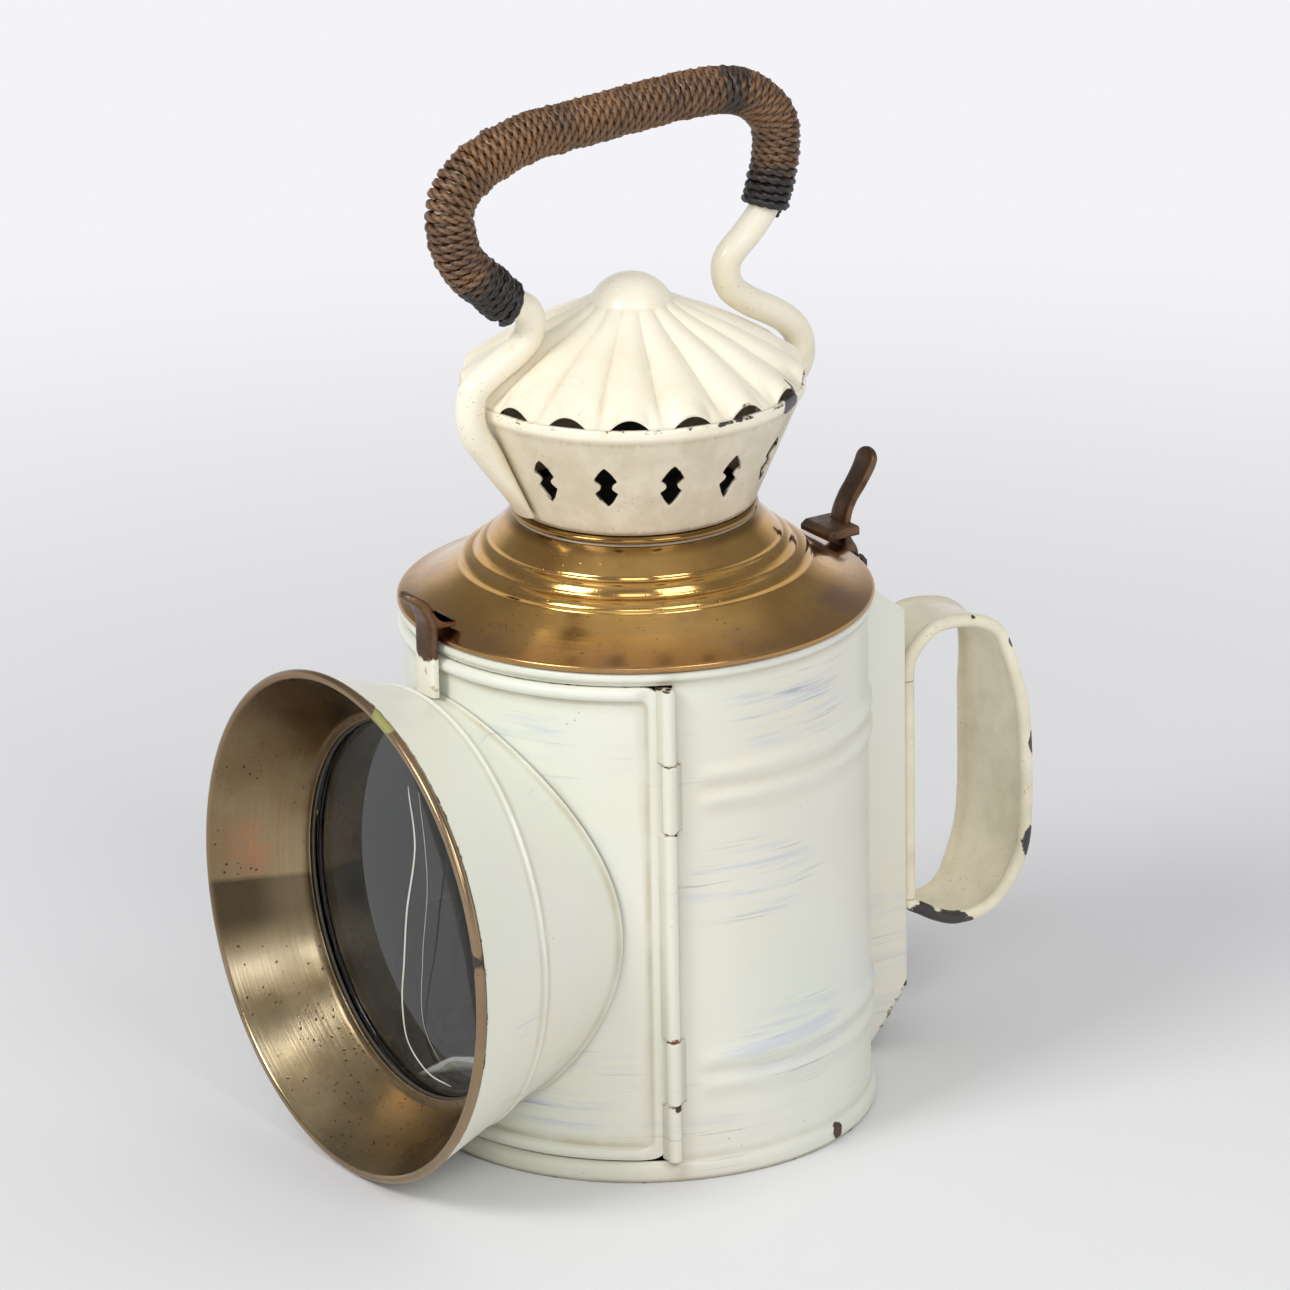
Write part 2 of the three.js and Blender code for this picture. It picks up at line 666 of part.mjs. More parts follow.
// Shoulder: spun brass from the brim up to the neck, with two stepped rings.
const spigotRise = 2.6;
const spigotTop = chimneyBase + spigotRise;
const spigotRadius = neckRadius - brassSheet - seatGap * 2;
const onShoulder = ([r, z]) => [brimRadius - shoulderRun * r, brimTop + shoulderRise * z];
const underShares = [
  [1.005, 0.9], [0.8, 0.615], [0.7, 0.525], [0.57, 0.4], [0.54, 0.32], [0.34, 0.15], [0.24, 0.085],
];
const shoulderUnder = underShares.map(([r, z]) => [
  brimRadius - brassSheet - shoulderRun * r,
  brimTop - brassSheet / 2 + shoulderRise * z,
]);
const neckBead = 1;
const brim = revolve(
  [
    [brimRadius - neckBead / 2, brimBottom],
    [brimRadius, brimBottom + neckBead / 2],
    [brimRadius, brimTop - neckBead / 2],
    [brimRadius - neckBead / 2, brimTop],
    ...brimShares.slice(1).map(onShoulder),
    [onShoulder(brimShares[2])[0], onShoulder(brimShares[2])[1] - brassSheet],
    [onShoulder(brimShares[1])[0] - brassSheet, onShoulder(brimShares[1])[1] - brassSheet * 1.5],
    [brimRadius - brassSheet * 2, brimBottom],
  ],
  roundSteps,
);
const shoulder = revolve(
  [
    ...shoulderShares.map(onShoulder),
    [neckRadius + neckBead, neckHeight - neckBead * 2],
    [neckRadius + neckBead, neckHeight - neckBead],
    [neckRadius, neckHeight],
    [spigotRadius, neckHeight],
    [spigotRadius, spigotTop],
    [spigotRadius - brassSheet, spigotTop],
    ...shoulderUnder,
  ],
  roundSteps,
);

// Skirt under the shoulder that keeps it in the body, and the ring that carries the colour glasses.
const skirtOuter = bodyInner - sheet * 2;
const skirtInner = skirtOuter - sheet;
const skirtDrop = 12.7; // skirt's lower edge under the body's top
const skirtBottom = bodyHeight - skirtDrop;
const skirtTop = brimBottom - seatGap * 2 + sheet;
const shoulderSkirt = revolve(
  [[skirtInner, skirtBottom], [skirtOuter, skirtBottom], [skirtOuter, skirtTop], [skirtInner, skirtTop]],
  innerSteps,
);
const shadeRadius = 61;
const shadeThickness = 2.2;
const shadeTop = skirtBottom - seatGap;
const shadeRing = revolve(
  [
    [shadeRadius - shadeThickness * 2, shadeTop - sheet],
    [skirtOuter, shadeTop - sheet],
    [skirtOuter, shadeTop],
    [shadeRadius - shadeThickness * 2, shadeTop],
  ],
  innerSteps,
);
const shadeBottom = 30;
const shadeBand = 4;
const frameTop = shadeTop - sheet - seatGap;
const strutAngles = [90, 210, 330];
const strutSpan = 2.2; // degrees to each side of a strut's middle
const shadeBandAt = (from, to) =>
  revolve(
    [
      [shadeRadius - shadeThickness, from],
      [shadeRadius, from],
      [shadeRadius, to],
      [shadeRadius - shadeThickness, to],
    ],
    innerSteps,
  );
const strut = (angle) =>
  sector(
    () => [
      [shadeRadius - shadeThickness, shadeBottom],
      [shadeRadius, shadeBottom],
      [shadeRadius, frameTop],
      [shadeRadius - shadeThickness, frameTop],
    ],
    angle - strutSpan,
    angle + strutSpan,
    1,
  );
const shadeFrame = join(
  shadeBandAt(shadeBottom, shadeBottom + shadeBand),
  shadeBandAt(frameTop - shadeBand, frameTop),
  ...strutAngles.map(strut),
);
const glassThickness = 1.4;
const glassGap = 0.4; // degrees between a glass and a strut
const shadeGlass = (from, to) => {
  const outer = shadeRadius - (shadeThickness - glassThickness) / 2;
  const bottom = shadeBottom + shadeBand + seatGap;
  const top = frameTop - shadeBand - seatGap;
  return sector(
    () => [[outer - glassThickness, bottom], [outer, bottom], [outer, top], [outer - glassThickness, top]],
    from + strutSpan + glassGap,
    to - strutSpan - glassGap,
    smallSteps / 2,
  );
};

// Inner chimney: a funnel that hangs from the neck's spigot and leads the smoke into the cone.
const funnelRadius = spigotRadius - brassSheet - seatGap;
const funnelBottom = chimneyBase - spigotRise - seatGap;
const flueRadius = 14;
const flueLift = 8; // flue's ends above the cone's base
const flueRise = 33;
const flueBottom = chimneyBase + flueLift;
const flueTop = chimneyBase + flueRise;
const innerChimney = revolve(
  [
    [funnelRadius, funnelBottom],
    [funnelRadius, funnelBottom + thinSheet * 4],
    [flueRadius, flueBottom],
    [flueRadius, flueTop],
    [flueRadius - thinSheet, flueTop],
    [flueRadius - thinSheet, flueBottom - thinSheet],
    [funnelRadius - thinSheet, funnelBottom + thinSheet * 2],
    [funnelRadius - thinSheet, funnelBottom],
  ],
  smallSteps,
);

// Chimney cone: an upright band round its top, and a ring of pierced slots, pointed at both ends and
// bitten at both sides.
const coneTop = chimneyBase + coneHeight;
const creaseHeight = coneTop - coneRimHeight;
const creaseInset = 1.4;
const creaseRadius = coneRimRadius - creaseInset;
const slotCount = 14;
const slotFirst = 341.9;
const slotLift = 17.2; // slots' middle above the cone's base
const slotHeight = chimneyBase + slotLift;
const slotLength = 15.7;
const slotWidth = 6.8;
const slotShares = [[0, 1], [0.9, 0.46], [0.5, 0.14], [0.5, -0.14], [0.9, -0.46], [0, -1]];
const coneSlope = (creaseRadius - neckRadius) / (creaseHeight - chimneyBase);
const coneRadius = (z) => neckRadius + (z - chimneyBase) * coneSlope;
const slotOutline = [
  ...slotShares.map(([u, v]) => [(slotWidth / 2) * u, (slotLength / 2) * v]),
  ...slotShares
    .slice(1, -1)
    .reverse()
    .map(([u, v]) => [(-slotWidth / 2) * u, (slotLength / 2) * v]),
];
const slotShape = new THREE.Shape(slotOutline.map(([u, v]) => new THREE.Vector2(u, v)));

// A slot's cutter points straight out of the cone's face.
function slotCutter(angle) {
  const normal = polar(1, angle, -coneSlope).normalize();
  const across = polar(1, angle + 90, 0);
  const up = new THREE.Vector3().crossVectors(normal, across);
  const place = polar(coneRadius(slotHeight), angle, slotHeight);
  const frame = new THREE.Matrix4().makeBasis(across, up, normal).setPosition(place);
  return new THREE.ExtrudeGeometry(slotShape, { depth: overrun * 2, bevelEnabled: false })
    .translate(0, 0, -overrun)
    .applyMatrix4(frame);
}

const chimneyCone = cut(
  revolve(
    [
      [neckRadius, chimneyBase],
      [creaseRadius, creaseHeight],
      [coneRimRadius, creaseHeight + coneRimHeight / 3],
      [coneRimRadius, coneTop - coneRimHeight / 5],
      [coneRimRadius - brassSheet / 2, coneTop],
      [coneRimRadius - brassSheet * 1.5, coneTop],
      [coneRimRadius - brassSheet * 1.5, creaseHeight + coneRimHeight / 3],
      [creaseRadius - brassSheet, creaseHeight],
      [neckRadius - brassSheet, chimneyBase],
    ],
    slotCount * 2,
  ),
  ...Array.from({ length: slotCount }, (_, i) => slotCutter(slotFirst + (fullTurn * i) / slotCount)),
);

// Fluted cap: rounded crests between sharp valleys that die out towards the button. The valleys
// rest on the cone's top, and each crest leaves a lens-shaped gap above it.
const fluteCount = 17;
const fluteSteps = 4;
const crestAngle = 325.9;
const fluteRise = 2.9;
const fluteRoundness = 2.2;
const capEdge = coneRimRadius - brassSheet / 2;
const capHole = 4.5;
const capEdgeHeight = coneTop + seatGap;
const capRise = 26.8;
const capSheet = 1.1;
const capRows = [1, 0.78, 0.55, 0.32, 0];
const capCurveShares = [[0, 1], [0.32, 0.7], [0.55, 0.475], [0.78, 0.24], [1, 0]];
const fluteShares = [[0, 0], [0.32, 0.5], [0.55, 0.85], [1, 1]];
const capRadius = (share) => capHole + (capEdge - capHole) * share;

function capSurface(share, angle) {
  const flute = (((angle - crestAngle) / fullTurn) * fluteCount + fluteCount * 2) % 1;
  const offset = Math.abs(2 * (flute > 0.5 ? flute - 1 : flute));
  const crest = 1 - offset ** fluteRoundness;
  return (
    capEdgeHeight + capRise * readShares(capCurveShares, share) + fluteRise * readShares(fluteShares, share) * crest
  );
}

const flutedCap = sector(
  (angle) => [
    ...capRows.map((share) => [capRadius(share), capSheet + capSurface(share, angle)]),
    ...[...capRows].reverse().map((share) => [capRadius(share), capSurface(share, angle)]),
  ],
  crestAngle,
  crestAngle + fullTurn,
  fluteCount * fluteSteps,
);
const buttonRadius = 11.2;
const buttonRise = 6.6;
const buttonShares = [[1, 0], [0.97, 0.25], [0.8, 0.62], [0.5, 0.88], [0.2, 0.99], [0, 1]];
// Just above the cap's crests at a radius.
function overCap(radius) {
  const share = (radius - capHole) / (capEdge - capHole);
  const rise = capRise * readShares(capCurveShares, share) + fluteRise * readShares(fluteShares, share);
  return capEdgeHeight + rise + capSheet + seatGap;
}
const buttonBase = overCap(buttonRadius);
const stemRadius = capHole - seatGap * 2;
const capButton = revolve(
  [
    [0, buttonBase - buttonRise / 2],
    [stemRadius, buttonBase - buttonRise / 2],
    [stemRadius, overCap(capHole)],
    [capHole, overCap(capHole)],
    ...buttonShares.map(([r, z]) => [buttonRadius * r, buttonBase + buttonRise * z]),
  ],
  smallSteps,
);

// Bail: one rod that rises from a flattened foot on the cone, passes the rim, comes in over the cap,
// swings out to the grip and returns the same way. Its points are shares of its reach and height.
const bailReach = 63;
const bailHeight = 121.8;
const bailShares = [
  [-0.624, 0.022], [-0.684, 0.076], [-0.756, 0.138], [-0.827, 0.2], [-0.883, 0.245], [-0.908, 0.285],
  [-0.908, 0.32], [-0.888, 0.361], [-0.795, 0.397], [-0.648, 0.439], [-0.581, 0.471], [-0.565, 0.506],
  [-0.581, 0.537], [-0.64, 0.559], [-0.698, 0.57], [-0.806, 0.623], [-0.908, 0.671], [-0.962, 0.714],
  [-0.994, 0.774], [-1, 0.818], [-0.971, 0.86], [-0.914, 0.898], [-0.824, 0.929], [-0.687, 0.956],
  [-0.532, 0.974], [-0.34, 0.98], [-0.141, 0.987], [0.057, 0.994], [0.257, 1], [0.446, 0.999],
  [0.565, 0.992], [0.692, 0.967], [0.771, 0.934], [0.822, 0.899], [0.838, 0.849], [0.827, 0.783],
  [0.8, 0.736], [0.76, 0.673], [0.67, 0.62], [0.6, 0.589], [0.549, 0.559], [0.54, 0.525],
  [0.57, 0.484], [0.678, 0.439], [0.781, 0.409], [0.878, 0.376], [0.948, 0.333], [0.967, 0.285],
  [0.935, 0.242], [0.86, 0.207], [0.756, 0.138], [0.684, 0.076], [0.624, 0.022],
];
const flatShares = [
  [0, 0.29], [0.02, 0.49], [0.043, 0.76], [0.066, 1], [0.934, 1], [0.957, 0.76], [0.98, 0.49], [1, 0.29],
];
const footWiden = rodRadius / 3; // how much wider the flattened foot is at its end
const bailSteps = 48;
const bailSides = 8;
const bailCurve = new THREE.CatmullRomCurve3(
  bailShares.map(([y, z]) => new THREE.Vector3(0, bailReach * y, chimneyBase + bailHeight * z)),
  false,
  "centripetal",
);
bailCurve.arcLengthDivisions = 1200;

// The curve's place, direction and normal in its own upright plane.
function bailFrame(share) {
  const along = bailCurve.getTangentAt(share);
  return { centre: bailCurve.getPointAt(share), along, normal: new THREE.Vector3(0, -along.z, along.y) };
}

const circle = Array.from({ length: bailSides }, (_, i) => (2 * Math.PI * (i + 0.5)) / bailSides);
const bailRings = Array.from({ length: bailSteps + 1 }, (_, i) => {
  const share = i / bailSteps;
  const { centre, normal } = bailFrame(share);
  const thin = readShares(flatShares, share);
  return circle.map((angle) => {
    const across = (rodRadius + footWiden * (1 - thin)) * Math.cos(angle);
    const through = rodRadius * thin * Math.sin(angle);
    return new THREE.Vector3(across, centre.y + normal.y * through, centre.z + normal.z * through);
  });
});
const bailRod = loft(bailRings, circle.map((angle) => new THREE.Vector2(Math.cos(angle), Math.sin(angle))));

// The cord wound on the grip: one unbroken tube that runs round the rod, with straight ends.
const gripFrom = 0.2243; // shares of the rod's length
const gripTo = 0.7276;
const cordRadius = 1.7;
const windRadius = rodRadius + seatGap + cordRadius;
const windLoops = 24;
const loopSteps = 16;
const cordSides = 5;

function windPoint(turns) {
  const share = gripFrom + ((gripTo - gripFrom) * turns) / windLoops;
  const { centre, normal } = bailFrame(share);
  const angle = 2 * Math.PI * turns;
  const outward = normal
    .clone()
    .multiplyScalar(Math.cos(angle))
    .add(new THREE.Vector3(Math.sin(angle), 0, 0));
  return { place: centre.clone().addScaledVector(outward, windRadius), outward };
}

const windCount = windLoops * loopSteps;
const windPath = Array.from({ length: windCount + 1 }, (_, i) => windPoint(i / loopSteps));
const windAlong = windPath.map((_, i) => {
  const before = windPath[Math.max(i - 1, 0)].place;
  const after = windPath[Math.min(i + 1, windCount)].place;
  return new THREE.Vector3().subVectors(after, before).normalize();
});
const windStations = windPath.map(({ place, outward }, i) => ({ place, outward, along: windAlong[i] }));
const straightEnd = (station, way) => ({
  place: station.place.clone().addScaledVector(station.along, way * cordRadius * 2),
  outward: station.outward,
  along: station.along,
});
windStations.unshift(straightEnd(windStations[0], -1));
windStations.push(straightEnd(windStations[windStations.length - 1], 1));
const cordCircle = Array.from({ length: cordSides }, (_, i) => (2 * Math.PI * i) / cordSides);
const windRings = windStations.map(({ place, outward, along }) => {
  const first = outward.clone().addScaledVector(along, -outward.dot(along)).normalize();
  const second = new THREE.Vector3().crossVectors(along, first);
  return cordCircle.map((angle) =>
    place
      .clone()
      .addScaledVector(first, cordRadius * Math.cos(angle))
      .addScaledVector(second, cordRadius * Math.sin(angle)),
  );
});
const gripWinding = loft(
  windRings,
  cordCircle.map((angle) => new THREE.Vector2(Math.cos(angle), Math.sin(angle))),
);

// The winding's least gap to itself, between points at least half a loop apart along it.
function leastGap(stations) {
  let least = Infinity;
  for (let i = 0; i < stations.length; i++) {
    for (let j = i + loopSteps / 2; j < stations.length; j++) {
      least = Math.min(least, stations[i].place.distanceTo(stations[j].place));
    }
  }
  return least - cordRadius * 2;
}
console.log("grip winding: least gap to itself", leastGap(windStations).toFixed(2), "mm");

// Floor with a ring of air holes.
const floorHoles = 8;
const airHole = 3;
const airRing = 55;
const floorPlate = cut(
  upright(bodyInner - seatGap, 0, sheet, bodySteps),
  ...Array.from({ length: floorHoles }, (_, i) => {
    const at = polar(airRing, (fullTurn * (i + 0.5)) / floorHoles, 0);
    return upright(airHole, -overrun, overrun, pinSteps).translate(at.x, at.y, 0);
  }),
);

// Oil font in its seat, with a filler cap, and the burner on top of it.
const fontRadius = 35;
const fontBottom = sheet + seatGap * 2;
const fontShoulder = 36;
const fontCrown = 4; // its top above its shoulder
const fontTop = fontShoulder + fontCrown;
const fontMouth = 10.5;
const fontSeat = revolve(
  [
    [fontRadius + seatGap, sheet + seatGap],
    [fontRadius + seatGap + sheet, sheet + seatGap],
    [fontRadius + seatGap + sheet, sheet + seatGap + shadeBand],
    [fontRadius + seatGap, sheet + seatGap + shadeBand],
  ],
  smallSteps + 2,
);
const oilFont = revolve(
  [
    [0, fontBottom],
    [fontRadius, fontBottom],
    [fontRadius, fontShoulder],
    [fontMouth, fontTop],
    [fontMouth, fontTop - thinSheet],
    [fontRadius - thinSheet, fontShoulder - thinSheet],
    [fontRadius - thinSheet, fontBottom + thinSheet],
    [0, fontBottom + thinSheet],
  ],
  smallSteps + 2,
);
const fontFall = (fontTop - fontShoulder) / (fontRadius - fontMouth);
const fillerShares = [-0.31429, -0.11429];
const fillerAt = fillerShares.map((share) => bodyRadius * share);
const fillerRadius = 5.5;
const fillerHeight = 6;
const fillerOut = Math.hypot(...fillerAt) - fillerRadius;
const fillerBase = fontTop - (fillerOut - fontMouth) * fontFall + seatGap;
const fillerCap = upright(fillerRadius, fillerBase, fillerBase + fillerHeight, smallSteps).translate(
  ...fillerAt,
  0,
);
const collarRadius = 12.5;
const collarWall = 3.5;
const collarBore = collarRadius - collarWall;
const collarHeight = 4;
const collarTop = fontTop + collarHeight;
const burnerCollar = revolve(
  [
    [collarBore, fontTop - sheet],
    [fontMouth - seatGap, fontTop - sheet],
    [fontMouth - seatGap, fontTop + seatGap],
    [collarRadius, fontTop + seatGap],
    [collarRadius, collarTop],
    [collarBore, collarTop],
  ],
  smallSteps,
);
const wickWidth = 13.4;
const wickThickness = 1.4;
const wickGap = 0.5;
const wickBottom = 12;
const tubeHeight = 30; // tube's top above the font
const tubeTop = fontTop + tubeHeight;
const wickTop = tubeTop + wickGap;
const tubeWallX = wickWidth / 2 + wickGap;
const tubeWallY = wickThickness / 2 + wickGap;
const flangeBottom = collarTop + seatGap;
const flangeTop = flangeBottom + sheet;
const wheelRadius = 2.6;
const wheelWidth = 3;
const spindleRadius = 0.9;
const spindleLift = 10;
const spindleHeight = fontTop + spindleLift;
const spindleY = -(wickThickness / 2 + seatGap + wheelRadius);
const windowHalf = wheelRadius + brassSheet;
const wickTube = cut(
  join(
    box(
      [-tubeWallX - brassSheet, tubeWallX + brassSheet],
      [-tubeWallY - brassSheet, tubeWallY + brassSheet],
      [fontTop, tubeTop],
    ),
    upright(collarRadius - seatGap, flangeBottom, flangeTop, smallSteps),
  ),
  box([-tubeWallX, tubeWallX], [-tubeWallY, tubeWallY], [fontTop - overrun, tubeTop + overrun]),
  box(
    [-wheelWidth / 2 - wickGap, wheelWidth / 2 + wickGap],
    [-tubeWallY - brassSheet - overrun, -tubeWallY + brassSheet / 2],
    [spindleHeight - windowHalf, spindleHeight + windowHalf],
  ),
);
const wick = box(
  [-wickWidth / 2, wickWidth / 2],
  [-wickThickness / 2, wickThickness / 2],
  [wickBottom, wickTop],
);

// Spur wheel that bites the wick, on a spindle that leads out of the burner to its knob.
const spurTeeth = 10;
const spurRoot = 0.72; // share of the wheel's radius at the foot of a tooth
const spurShape = new THREE.Shape(
  Array.from({ length: spurTeeth * 2 }, (_, i) => {
    const angle = (Math.PI * i) / spurTeeth;
    const radius = wheelRadius * (i % 2 ? spurRoot : 1);
    return new THREE.Vector2(radius * Math.cos(angle), radius * Math.sin(angle));
  }),
);
spurShape.holes.push(new THREE.Path().absarc(0, 0, spindleRadius + seatGap, 0, Math.PI * 2, true));
const knobRadius = 6;
const knobThickness = 3;
const knobReach = 42; // knob's outer face beside the wick
const knobAt = -knobReach;
const spindleEnd = wheelWidth / 2 + brassSheet;
const wickWheel = new THREE.ExtrudeGeometry(spurShape, {
  depth: wheelWidth,
  bevelEnabled: false,
  curveSegments: pinSteps / 2,
})
  .rotateY(Math.PI / 2)
  .translate(-wheelWidth / 2, 0, 0);
const wickSpindle = crosswise(spindleRadius, knobAt - overrun / 2, spindleEnd, pinSteps);
const wickKnob = cut(
  crosswise(knobRadius, knobAt, knobAt + knobThickness, smallSteps - 4),
  crosswise(spindleRadius + seatGap, knobAt - overrun, knobAt + overrun, pinSteps),
);

// Flame cone over the wick, with a hole where the spindle passes.
const flameBase = flangeTop + seatGap;
const flameFall = 14; // how far the sides stop under the tube's top
const flameShoulder = tubeTop - flameFall;
const mouthWall = 1.9; // beside the wick tube
const flameMouth = tubeWallX + mouthWall + thinSheet / 2;
const flameTop = tubeTop + brassSheet;
const flameCone = cut(
  revolve(
    [
      [collarRadius, flameBase],
      [collarRadius, flameShoulder],
      [flameMouth, flameTop],
      [flameMouth - thinSheet, flameTop],
      [collarRadius - thinSheet, flameShoulder],
      [collarRadius - thinSheet, flameBase],
    ],
    smallSteps,
  ),
  crosswise(spindleRadius + wickGap, -collarRadius - overrun, -collarRadius / 2, pinSteps).translate(
    0,
    spindleY,
    spindleHeight,
  ),
);

// Reflector: a dished mirror behind the flame, on a post that stands on the floor.
const dishRadius = 36;
const dishFront = collarRadius + sheet; // its edge behind the lamp's axis
const dishDepth = 26.5;
const dishShares = [[1, 0], [0.8, 0.36], [0.6, 0.64], [0.35, 0.88], [0, 1]];
const bossRadius = 4;
const bossLength = 3;
const dish = (grow) => dishShares.map(([r, d]) => [(dishRadius + grow) * r, dishFront + (dishDepth + grow) * d]);
const reflector = join(
  revolve([...dish(0), ...dish(sheet).reverse()], smallSteps + 2)
    .rotateX(-Math.PI / 2)
    .translate(0, 0, lensHeight),
  upright(bossRadius, dishFront + dishDepth + sheet / 2, dishFront + dishDepth + sheet + bossLength, pinSteps)
    .rotateX(-Math.PI / 2)
    .translate(0, 0, lensHeight),
);
const postFront = dishFront + dishDepth + sheet + bossLength + seatGap;
const postHalf = 5;
const postFoot = 7;
const reflectorPost = plate(
  [
    [postFront, sheet + seatGap],
    [postFront + postFoot, sheet + seatGap],
    [postFront + postFoot, sheet * 2 + seatGap],
    [postFront + sheet, sheet * 2 + seatGap],
    [postFront + sheet, lensHeight + bossRadius],
    [postFront, lensHeight + bossRadius],
  ],
  postHalf * 2,
);

const body = new THREE.Group();
body.add(
  piece("body_shell", bodyShell, paint),
  piece("floor_plate", floorPlate, darkSteel),
  piece("rear_socket", rearSocket, paint),
  piece("handle_backing", handleBacking, handlePaint),
  piece("handle_strap", handleStrap, handlePaint),
  piece("catch_bracket", catchBracket, paint),
  piece("catch_pin", crosswise(catchPin, -cheekOuter, cheekOuter, pinSteps), bronze),
  piece("hinge_knuckle_lower", knuckle(...knuckleHeights[0]), paint),
  piece("hinge_knuckle_upper", knuckle(...knuckleHeights[1]), paint),
  piece("hinge_pin", atHinge(upright(pinRadius, doorBottom, doorTop, pinSteps)), darkSteel),
  piece("font_seat", fontSeat, darkSteel),
  piece("oil_font", oilFont, brass),
  piece("filler_cap", fillerCap, brass),
  piece("burner_collar", burnerCollar, brass),
  piece("wick_tube", wickTube, brass),
  piece("flame_cone", flameCone, brass),
  piece("reflector", reflector, linerBrass),
  piece("reflector_post", reflectorPost, darkSteel),
);
body.getObjectByName("catch_pin").position.set(0, catchPivot[0], catchPivot[1]);

const door = new THREE.Group();
door.add(
  piece("door_panel", doorPanel, paint),
  piece("hood_shell", hoodShell, paint),
  piece("hood_liner", hoodLiner, linerBrass),
  piece("lens_cell", lensCell, darkSteel),
  piece("lens", lens, clearGlass),
  piece("lens_gasket_front", gasket(lensFront + seatGap), packing),
  piece("lens_gasket_rear", gasket(lensBack - seatGap - gasketThickness), packing),
  piece("front_clip", frontClip, bronze),
);

const rearLever = new THREE.Group();
rearLever.add(piece("rear_catch", rearCatch, bronze));

const top = new THREE.Group();
top.add(
  piece("shoulder", shoulder, brass),
  piece("shoulder_brim", brim, brass),
  piece("shoulder_skirt", shoulderSkirt, darkSteel),
  piece("inner_chimney", innerChimney, darkSteel),
  piece("chimney_cone", chimneyCone, cream),
  piece("fluted_cap", flutedCap, cream),
  piece("cap_button", capButton, cream),
  piece("bail_rod", bailRod, cream),
  piece("grip_winding", gripWinding, cord),
  piece("shade_ring", shadeRing, darkSteel),
  piece("shade_frame", shadeFrame, darkSteel),
  piece("red_glass", shadeGlass(strutAngles[2] - fullTurn, strutAngles[0]), redTint),
  piece("green_glass", shadeGlass(strutAngles[0], strutAngles[1]), greenTint),
);

const wickFeed = new THREE.Group();
wickFeed.position.set(0, spindleY, spindleHeight);
wickFeed.add(
  piece("wick_wheel", wickWheel, brass),
  piece("wick_spindle", wickSpindle, brass),
  piece("wick_knob", wickKnob, brass),
);

const lamp = new THREE.Group();
lamp.add(body, door, rearLever, top, wickFeed, piece("wick", wick, cotton));

export default lamp;
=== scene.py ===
"""An old hand signal lamp in white paint, brass and bronze, with a cord-wound bail, on a pale floor."""

import math

import bmesh
import bpy
import numpy as np
from mathutils import Matrix, Vector


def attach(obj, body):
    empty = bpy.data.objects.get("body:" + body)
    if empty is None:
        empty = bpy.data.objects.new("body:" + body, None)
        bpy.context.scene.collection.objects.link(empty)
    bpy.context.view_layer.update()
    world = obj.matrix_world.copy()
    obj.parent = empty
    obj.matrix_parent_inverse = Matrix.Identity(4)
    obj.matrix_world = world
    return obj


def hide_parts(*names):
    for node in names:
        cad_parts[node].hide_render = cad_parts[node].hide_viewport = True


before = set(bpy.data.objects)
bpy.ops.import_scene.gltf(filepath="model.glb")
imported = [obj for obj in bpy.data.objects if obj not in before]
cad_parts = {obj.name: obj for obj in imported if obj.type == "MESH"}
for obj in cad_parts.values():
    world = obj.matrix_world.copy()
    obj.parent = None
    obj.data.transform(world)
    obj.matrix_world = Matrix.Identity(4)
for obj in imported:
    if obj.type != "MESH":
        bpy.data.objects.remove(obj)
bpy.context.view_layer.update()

MM = 0.001  # every length below is in millimetres
TURN = 2 * math.pi
ACROSS = (1.0, 0.0, 0.0)
LENS_HEIGHT = 79.1
WORLD_LIGHT = 0.55
LAMP_REACH, LAMP_AIM = 2200, 130
LAMPS = [  # name, azimuth and elevation in degrees, side in metres, power in watts
    ("key", -84, 42, 0.75, 22),
    ("side", 0, 42, 0.75, 10),
    ("front", -34, 30, 0.7, 4.5),
]


# Camera and light


def add_object(name, data):
    """A new object in the scene."""
    made = bpy.data.objects.new(name, data)
    bpy.context.scene.collection.objects.link(made)
    return made


def add_camera():
    """The camera: its place, and the directions to its right, its top and its front, in the lamp's frame."""
    data = bpy.data.cameras.new("camera")
    data.sensor_width, data.lens = 36, 240.73
    data.clip_start, data.clip_end = 0.1, 50
    right = Vector((0.5500720, 0.8349741, -0.0154605))
    top = Vector((-0.2742415, 0.1980918, 0.9410373))
    front = Vector((-0.7888044, 0.5133984, -0.3379494))
    camera = add_object("camera", data)
    camera.rotation_mode = "QUATERNION"
    camera.rotation_quaternion = Matrix((right, top, -front)).transposed().to_quaternion()
    camera.location = Vector((2.057793, -1.336347, 1.027261))
    bpy.context.scene.camera = camera


def add_softbox(name, azimuth, elevation, side, power):
    """A square lamp that faces the middle of the body."""
    data = bpy.data.lights.new(name, "AREA")
    data.shape = "RECTANGLE"
    data.size = data.size_y = side
    data.energy = power
    data.color = (1.0, 0.99, 0.97)
    rise = math.radians(elevation)
    place = polar(LAMP_REACH * math.cos(rise), azimuth, LAMP_AIM + LAMP_REACH * math.sin(rise)) * MM
    lamp = add_object(name, data)
    lamp.location = Vector(place.tolist())
    lamp.rotation_mode = "QUATERNION"
    lamp.rotation_quaternion = (Vector((0, 0, LAMP_AIM * MM)) - lamp.location).to_track_quat("-Z", "Y")


# Surface finishes


def srgb(colour):
    """A colour given as 0 to 255 on a screen, turned into light."""
    part = np.array(colour) / 255
    light = np.where(part <= 0.04045, part / 12.92, ((part + 0.055) / 1.055) ** 2.4)
    return (*light.tolist(), 1.0)


